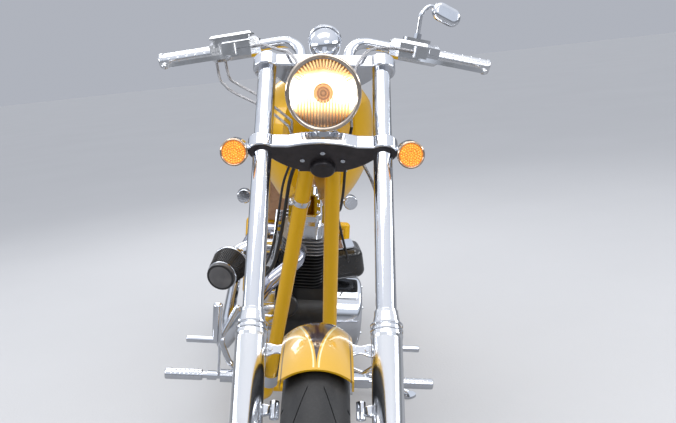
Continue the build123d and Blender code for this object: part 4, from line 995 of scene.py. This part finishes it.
seatSizes = {"voxel": 0.0055, "rounds": 6, "inset": 0.004, "pressure": 4.0, "frames": 18, "cap": 0.010,
             "heldFrom": 0.35, "spacing": 0.006, "easing": 4, "channel": 0.0040, "channelWidth": 0.0055,
             "channelReach": 0.045, "pitch": 0.042, "between": (0.11, 0.64), "sewnTo": 0.108,
             "sewnFade": 0.012}
seatTop = [(676, 878), (600, 846), (550, 818), (505, 752), (452, 684), (400, 654), (360, 648), (318, 668),
           (262, 712), (120, 742), (97, 735)]        # x and z of the pad's upper line
pipingSizes = {"radius": 0.0024, "sunk": 0.4, "side": 0.112, "noseFrom": 0.56, "nose": 0.64, "above": 0.05,
               "drop": 0.12}


def tanLeather(name="tanLeather", light=(0.58, 0.34, 0.20), dark=(0.36, 0.19, 0.105)):
    finish = Finish(name)
    grain = finish.cells(520)
    pores = finish.cells(1500, "F2")
    worn = finish.step(finish.noise(9, 4, 0.6), 0.40, 0.72)
    crease = finish.step(finish.noise(70, 5, 0.7), 0.48, 0.56)
    colour = finish.mixed(worn, light, dark)
    colour = finish.mixed(finish.step(grain, 0.0, 0.5, (0.35, 0.0)), colour, (0.10, 0.045, 0.02))
    return finish.surface(Base_Color=colour, Roughness=worn * 0.12 + crease * 0.06 + 0.38,
                          Normal=finish.bumped(grain * 1.2 + pores * 0.4 + crease * 0.5, 0.0005))


def seatLine():        # the upper line as closely spaced points, its corners eased
    points = [Vector((x / 1000, z / 1000)) for x, z in seatTop]
    samples = []
    for start, end in zip(points, points[1:]):
        steps = max(2, int((end - start).length / seatSizes["spacing"]))
        samples += [start.lerp(end, i / steps) for i in range(steps)]
    samples.append(points[-1])
    smooth = []
    for i in range(len(samples)):
        nearby = samples[max(0, i - seatSizes["easing"]):i + seatSizes["easing"] + 1]
        smooth.append(sum(nearby, Vector((0, 0))) / len(nearby))
    return smooth


def swollen(pad):        # a cloth simulation with gas pressure, its underside held where it is
    rest = [vertex.co.copy() for vertex in pad.data.vertices]
    down = (chassisPlace.to_3x3() @ Vector((0, 0, -1))).normalized()
    held = pad.vertex_groups.new(name="held")
    under = [v.index for v in pad.data.vertices if v.normal.dot(down) > seatSizes["heldFrom"]]
    held.add(under, 1.0, "REPLACE")
    cloth = pad.modifiers.new("cloth", "CLOTH")
    cloth.settings.use_pressure = True
    cloth.settings.uniform_pressure_force = seatSizes["pressure"]
    cloth.settings.effector_weights.gravity = 0
    cloth.settings.vertex_group_mass = "held"
    cloth.settings.quality = 4
    cloth.collision_settings.use_collision = False
    cloth.point_cache.frame_start = 1
    cloth.point_cache.frame_end = seatSizes["frames"]
    for step in range(1, seatSizes["frames"] + 1):
        scene.frame_set(step)
    bpy.ops.object.modifier_apply(modifier="cloth")
    scene.frame_set(1)
    for vertex, before in zip(pad.data.vertices, rest):
        moved = vertex.co - before
        if moved.length > seatSizes["cap"]:
            vertex.co = before + moved.normalized() * seatSizes["cap"]


def seamsOf(line):        # where the channels cross the upper line, each with the line's direction there
    seams = []
    run = 0.0
    for before, at, after in zip(line, line[1:], line[2:]):
        run += (at - before).length
        if run >= seatSizes["pitch"]:
            run = 0.0
            seams.append((at, (after - before).normalized()))
    low, high = seatSizes["between"]
    return [seam for seam in seams if low < seam[0].x < high][:-1]


def sewn(pad, line):        # presses the channels into the pad's upper side
    up = (chassisPlace.to_3x3() @ Vector((0, 0, 1))).normalized()
    back = chassisPlace.inverted()
    seams = seamsOf(line)
    normals = [vertex.normal.copy() for vertex in pad.data.vertices]
    for vertex, normal in zip(pad.data.vertices, normals):
        where = back @ vertex.co
        if normal.dot(up) < 0.1 or abs(where.y) > seatSizes["sewnTo"]:
            continue
        edge = min(1.0, (seatSizes["sewnTo"] - abs(where.y)) / seatSizes["sewnFade"])
        for middle, direction in seams:
            gap = Vector((where.x, where.z)) - middle
            off = abs(gap.dot(direction)) / seatSizes["channelWidth"]
            if gap.length < seatSizes["channelReach"] and off < 2.5:
                vertex.co -= normal * seatSizes["channel"] * edge * exp(-off * off)


def makeSeat(line):
    pad = bpy.data.objects.new("seatPad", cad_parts["seat"].data.copy())
    scene.collection.objects.link(pad)
    alone(pad)
    bpy.ops.object.mode_set(mode="EDIT")
    bpy.ops.mesh.select_all(action="SELECT")
    bpy.ops.mesh.remove_doubles(threshold=0.00001)
    bpy.ops.object.mode_set(mode="OBJECT")
    pad.data.remesh_voxel_size = seatSizes["voxel"]
    bpy.ops.object.voxel_remesh()
    for step in range(seatSizes["rounds"]):        # softens the corners of the pad
        softer = pad.modifiers.new("softer", "SMOOTH")
        softer.iterations = 2
        softer.factor = 0.5
        bpy.ops.object.modifier_apply(modifier="softer")
    normals = [vertex.normal.copy() for vertex in pad.data.vertices]
    for vertex, normal in zip(pad.data.vertices, normals):
        vertex.co -= normal * seatSizes["inset"]
    swollen(pad)
    finer = pad.modifiers.new("finer", "SUBSURF")
    finer.levels = finer.render_levels = 1
    bpy.ops.object.modifier_apply(modifier="finer")
    sewn(pad, line)
    coat(pad, tanLeather())
    alone(pad)
    bpy.ops.object.shade_smooth()
    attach(pad, "chassis")
    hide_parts("seat")
    return pad


def pipingAlong(name, points, radius, finish, body):        # a round bead along a smooth line
    curve = bpy.data.curves.new(name, "CURVE")
    curve.dimensions = "3D"
    curve.bevel_depth = radius
    curve.bevel_resolution = 3
    curve.resolution_u = 4
    curve.use_fill_caps = True
    spline = curve.splines.new("NURBS")
    spline.points.add(len(points) - 1)
    for point, at in zip(spline.points, points):
        point.co = (*at, 1)
    spline.order_u = 3
    spline.use_endpoint_u = True
    piece = bpy.data.objects.new(name, curve)
    scene.collection.objects.link(piece)
    alone(piece)
    bpy.ops.object.convert(target="MESH")
    piece = bpy.context.object
    bpy.ops.object.shade_smooth()
    coat(piece, finish)
    if body:
        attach(piece, body)
    return piece


def makeSeatTrim(pad, line):        # piping laid on the pad along both its edges
    size = pipingSizes
    bpy.context.view_layer.update()
    surface = BVHTree.FromPolygons([v.co for v in pad.data.vertices], [p.vertices for p in pad.data.polygons])
    trim = tanLeather("pipingLeather", (0.16, 0.075, 0.035), (0.09, 0.04, 0.02))
    down = chassisPlace.to_3x3() @ Vector((0, 0, -1))
    for side, name in ((1, "upperPipingLeft"), (-1, "upperPipingRight")):
        points = []
        for at in line[3:-2:5]:
            wide = size["side"] * (size["nose"] if at.x > size["noseFrom"] else 1)
            start = chassisPlace @ Vector((at.x, side * wide, at.y + size["above"]))
            found, normal = surface.ray_cast(start, down, size["drop"])[:2]
            if found is not None:
                points.append(found + normal * size["radius"] * size["sunk"])
        pipingAlong(name, points, size["radius"], trim, "chassis")


seatProfile = seatLine()
makeSeatTrim(makeSeat(seatProfile), seatProfile)
print("seat done")


# Lines that cross the steering neck, from the fork to the chassis

neckLines = [        # from a point on the fork's axes to one on the chassis's, in millimetres
    {"name": "throttlePull", "from": (-48, -72, 912), "to": (1462, -68, 916), "radius": 3.0, "braid": True},
    {"name": "throttleReturn", "from": (-50, -78, 897), "to": (1454, -52, 925), "radius": 3.0, "braid": True},
    {"name": "clutchLine", "from": (-44, 64, 895), "to": (1452, 56, 922), "radius": 3.5, "braid": False},
]


def makeNeckLines():
    for line in neckLines:
        start = forkPlace @ metres(line["from"])
        end = chassisPlace @ metres(line["to"])
        steps = [start.lerp(end, share) for share in (0, 0.3, 0.5, 0.7, 1)]
        finish, slot = (braid, "cable_braid") if line["braid"] else (rubber, "hose_rubber")
        piece = pipingAlong(line["name"], steps, line["radius"] / 1000, finish, None)
        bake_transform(piece)


makeNeckLines()
print("neck lines done")


# Dial, mirror glass and other small fittings

def dialFace():
    finish = Finish("dialFace")
    grain = finish.noise(900)
    colour = finish.mixed(grain, (0.85, 0.84, 0.80), (0.78, 0.77, 0.72))
    return finish.surface(Base_Color=colour, Roughness=grain * 0.1 + 0.35)


def mirrorGlass():
    finish = Finish("mirrorGlass")
    smear = finish.step(finish.noise(25, 4), 0.5, 0.85)
    colour = finish.mixed(smear, (0.86, 0.89, 0.91), (0.70, 0.72, 0.73))
    return finish.surface(Base_Color=colour, Metallic=1.0, Roughness=smear * 0.08 + 0.01)


dialSizes = {
    "centre": (6, 0, 1088), "lean": -62,
    "plate": [(0, 26.6), (30, 26.6), (31.4, 26.2), (31.4, 25.4), (0, 25.4)],
    "tick": (3.6, 0.8, 0.5), "tickRows": ((25, 27.4), (9, 25.6)), "tickUp": 26.8, "tickStart": -225,
    "tickSweep": 270,
    "needle": {"radius": 1.4, "length": 24, "at": (-10, 0, 28.0), "tip": (-22, 0, 28.0)},
    "hub": [(0, 29.6), (2.4, 29.3), (3.4, 28.2), (3.4, 26.6), (0, 26.6)],
    "glass": [(0, 31.6), (14, 31.2), (25, 30.2), (31.2, 29.0), (31.2, 28.2), (25, 29.4), (14, 30.4),
              (0, 30.8)],
}


def makeDial():        # pale plate with plain ticks, a red needle on a dark hub, and the glass
    size = dialSizes
    place = steered(forkPlace @ metres(size["centre"]), (0, size["lean"], 0))
    settle(turned("dialPlate", size["plate"], 64), place, "steering", dialFace())
    tick = bevelled(box("tick", (1, 1, 1)), 0.12, 1)        # rounded as a cube, then drawn out
    bpy.ops.transform.resize(value=size["tick"])
    spots = []
    for count, radius in size["tickRows"]:
        spots += around(count, radius, size["tickUp"], size["tickStart"], size["tickSweep"])
    settle(repeated("dialTicks", tick, spots), place, "steering", satin)
    needle = rod("needle", 4, size["needle"]["radius"], size["needle"]["length"], size["needle"]["at"], 90)
    choose(needle, lambda at, normal: at.x < -20, "VERT")
    bpy.ops.transform.resize(value=(1, 0.2, 0.4), center_override=size["needle"]["tip"])
    # painted light: the needle takes the red lens finish, so it glows faintly though it is no lamp
    settle(needle, place, "steering", redLens())
    settle(turned("needleHub", size["hub"], 24), place, "steering", satin)
    glass = turned("dialGlass", size["glass"], 64)
    settle(glass, place, "steering", clearGlass("dialGlass", (0.95, 0.97, 1.0)), 60)


mirrorSizes = {"onBar": (0, -36, -178), "fromBar": (-12, 68, 54), "turns": ((12, "Z"), (-24, "X"), (78, "Y")),
               "thick": 1.2, "up": -0.3, "half": (18.6, 33.6), "corner": 0.62}


def makeMirrorGlass():        # on the head's flat side, facing back towards the rider
    size = mirrorSizes
    at = leftBarPlace @ metres(size["onBar"]) + steeringPlace.to_3x3() @ metres(size["fromBar"])
    place = steered(at)
    for angle, axis in size["turns"]:
        place = place @ Matrix.Rotation(radians(angle), 4, axis)
    glass = rod("mirrorFace", 40, 1, size["thick"], (0, 0, size["up"]))
    deep, wide = size["half"]
    for vertex in glass.data.vertices:        # a rounded oblong like the head's outline
        x, y = vertex.co.x, vertex.co.y
        vertex.co.x = deep * (abs(x) ** size["corner"]) * (1 if x > 0 else -1)
        vertex.co.y = wide * (abs(y) ** size["corner"]) * (1 if y > 0 else -1)
    bevelled(glass, 0.3, 1)
    settle(glass, place, "steering", mirrorGlass())


gripRings = {"count": 5, "start": -104, "pitch": 22, "radius": 17.3, "half": 1.6}
pegRings = {"count": 7, "start": 12, "pitch": 12, "radius": 15.7, "half": 2.2}
ringDepth = 0.8
pegRoot = (1212, 270, 284)


def makeRings(name, place, rings, body, finish):        # a row of raised rings along the place's z axis
    top, half = rings["radius"], rings["half"]
    foot = top - ringDepth
    flat = half * 0.6
    ring = turned("ring", [(foot, -half), (top, -flat), (top, flat), (foot, half), (foot, -half)], 40)
    spots = [placeOf((0, 0, rings["start"] + rings["pitch"] * i)) for i in range(rings["count"])]
    settle(repeated(name, ring, spots), place, body, finish, smooth=50)


def makeGripRings():        # the right place mirrors the left one, its x reversed so that faces stay outwards
    mirror = steeringPlace @ Matrix.Diagonal((1, -1, 1, 1)) @ steeringPlace.inverted()
    rightBarPlace = mirror @ leftBarPlace @ Matrix.Diagonal((-1, 1, 1, 1))
    makeRings("leftGripRings", leftBarPlace, gripRings, "steering", satinChrome)
    makeRings("rightGripRings", rightBarPlace, gripRings, "steering", satinChrome)


def makePegRings():        # on both foot pegs
    x, y, z = pegRoot
    for side, name in ((1, "leftPegRings"), (-1, "rightPegRings")):
        makeRings(name, facing(chassisPlace, (x, side * y, z), (0, side, 0)), pegRings, "chassis", chrome)


tubeBand = {"foot": (1086, -91, 190), "head": (1471, -23, 968), "at": 0.80, "radius": 19.1, "wall": 2.4,
            "half": 7, "ear": (13, 4.4, 14), "earAt": 5, "boltAt": 6, "outwards": (0.5, -1, 0)}


def makeTubeBand():        # a clamp band round the right downtube, with its ear and bolt outside
    size = tubeBand
    foot = Vector(size["foot"])
    rise = Vector(size["head"]) - foot
    place = facing(chassisPlace, foot + rise * size["at"], rise)
    inner, half = size["radius"], size["half"]
    outer = inner + size["wall"]
    outline = [(inner, -half), (outer, -half), (outer, half), (inner, half), (inner, -half)]
    settle(bevelled(turned("tubeBand", outline, 40), 0.7, 2, 50), place, "chassis")
    outwards = place.to_3x3().inverted() @ chassisPlace.to_3x3() @ Vector(size["outwards"])
    turn = Matrix.Rotation(atan2(outwards.y, outwards.x), 4, "Z")
    ear = box("bandEar", size["ear"], (outer + size["earAt"], 0, 0))
    settle(bevelled(ear, 1.2), place @ turn, "chassis")
    head = turn @ placeOf((outer + size["boltAt"], size["ear"][1] / 2, 0), (-90, 0, 0))
    settle(repeated("bandBolt", hexBolt(4.6, 3.6), [head]), place, "chassis", satinChrome)


tailFrame = {"up": 373, "size": (61.6, 127.6, 13), "rim": 4.5}


def makeTailFrame():        # a chrome frame round the foot of the tail light
    rim = box("tailFrame", tailFrame["size"])
    hollowed(rim, lambda at, normal: abs(normal.z) > 0.9, tailFrame["rim"])
    settle(bevelled(rim, 1.6, 3), near(tailPlace, (0, 0, tailFrame["up"])), "chassis")


plateFrame = {"at": (-452, 0, 360), "lean": -14, "size": (3.2, 184, 124), "back": -2.4, "rim": 7,
              "screws": (-2, 58, 42)}


def makePlateFrame():        # a rim round the blank plate, with its four screws
    size = plateFrame
    place = near(chassisPlace, size["at"], (0, size["lean"], 0))
    rim = box("plateFrame", size["size"], (size["back"], 0, 0))
    hollowed(rim, lambda at, normal: abs(normal.x) > 0.9, size["rim"])
    settle(bevelled(rim, 0.9), place, "chassis")
    seat, across, up = size["screws"]
    spots = [placeOf((seat, side * across, rise * up), (0, -90, 0)) for side in (1, -1) for rise in (1, -1)]
    settle(repeated("plateScrews", capScrew(4.2, 2.4), spots), place, "chassis", satinChrome)


discBolts = {"seat": (0, 76.5, 0), "count": 6, "radius": 33.4, "start": 30}


def makeDiscBolts():        # the front disc's bolts into the hub
    place = near(frontWheelPlace, discBolts["seat"], (-90, 0, 0))
    spots = around(discBolts["count"], discBolts["radius"], start=discBolts["start"])
    settle(repeated("discBolts", hexBolt(4.8, 3.6), spots), place, "front_wheel", satinChrome)


makeDial()
makeMirrorGlass()
makeGripRings()
makeTubeBand()
makeTailFrame()
makePlateFrame()
makeDiscBolts()
makePegRings()
print("small fittings done")


# Floor, light and camera

floorLook = {"size": 160, "dark": (0.50, 0.50, 0.505), "light": (0.56, 0.56, 0.565),
             "mirrored": (0.10, 0.105, 0.115), "mirroring": 0.62}        # darker where chrome reflects it


def makeFloor():
    floor = begin("floor", "plane", size=floorLook["size"])
    finish = Finish("floorFinish")
    mottle = finish.noise(0.7, 6, 0.6)
    colour = finish.mixed(mottle, floorLook["dark"], floorLook["light"])
    shiny = finish.add("ShaderNodeLightPath", out="Is Glossy Ray")
    colour = finish.mixed(shiny * floorLook["mirroring"], colour, floorLook["mirrored"])
    coat(floor, finish.surface(Base_Color=colour, Roughness=mottle * 0.1 + 0.75,
                               Normal=finish.bumped(finish.noise(120, 3), 0.0008)))


lights = {
    "overheadSoftbox": {"at": (0.6, 0, 4.2), "target": (0.2, 0, 0.5), "size": (3.6, 2.2), "power": 60},
    "frontSoftbox": {"at": (4.6, 1.4, 3.4), "target": (0.4, 0, 0.7), "size": (2.4, 1.4), "power": 42},
    "leftStrip": {"at": (0.6, 3.6, 2.0), "target": (0, 0, 0.6), "size": (3.4, 0.7), "power": 40},
    "rightStrip": {"at": (0.6, -3.6, 2.0), "target": (0, 0, 0.6), "size": (3.4, 0.7), "power": 40},
    "rearSoftbox": {"at": (-3.6, -0.6, 2.8), "target": (-0.4, 0, 0.7), "size": (2.2, 1.2), "power": 36},
}


def makeLights():
    for name, light in lights.items():
        lamp = bpy.data.lights.new(name, "AREA")
        lamp.shape = "RECTANGLE"
        lamp.size, lamp.size_y = light["size"]
        lamp.energy = light["power"]
        piece = bpy.data.objects.new(name, lamp)
        scene.collection.objects.link(piece)
        aim = (Vector(light["target"]) - Vector(light["at"])).to_track_quat("-Z", "Y").to_matrix().to_4x4()
        piece.matrix_world = Matrix.Translation(light["at"]) @ aim


skyLook = {"stops": [(0.0, (0.30, 0.32, 0.35)), (0.06, (0.13, 0.135, 0.14)), (0.12, (0.24, 0.25, 0.27)),
                     (0.24, (0.70, 0.76, 0.87)), (1.0, (1.0, 1.02, 1.08))],
           "seen": (0.455, 0.478, 0.535), "strength": 0.95}


def makeSky():        # a pale studio to the eye, with a darker horizon for the chrome to reflect
    world = bpy.data.worlds.new("studio")
    scene.world = world
    world.use_nodes = True
    sky = Nodes(world.node_tree)
    background = world.node_tree.nodes["Background"]
    height = sky.split(sky.add("ShaderNodeTexCoord", out="Generated"))[2]
    seen = sky.add("ShaderNodeLightPath", out="Is Camera Ray")
    sky.feed(background.inputs["Color"], sky.mixed(seen, sky.ramp(height, skyLook["stops"]), skyLook["seen"]))
    background.inputs["Strength"].default_value = skyLook["strength"]


cameraLook = {"at": (2.3124, -0.0556, 1.13), "turn": (75.423, 6.033, 85.758), "lens": 42.605, "sensor": 36,
              "shift": 0.08, "far": 300}


def makeCamera():
    lens = bpy.data.cameras.new("photoCamera")
    lens.lens = cameraLook["lens"]
    lens.sensor_width = cameraLook["sensor"]
    lens.shift_y = cameraLook["shift"]
    lens.clip_end = cameraLook["far"]
    camera = bpy.data.objects.new("photoCamera", lens)
    scene.collection.objects.link(camera)
    camera.matrix_world = placeOf(cameraLook["at"], cameraLook["turn"])
    scene.camera = camera


makeCamera()
makeFloor()
makeSky()
makeLights()
print("floor, light and camera done")

scene.view_settings.view_transform = "Standard"
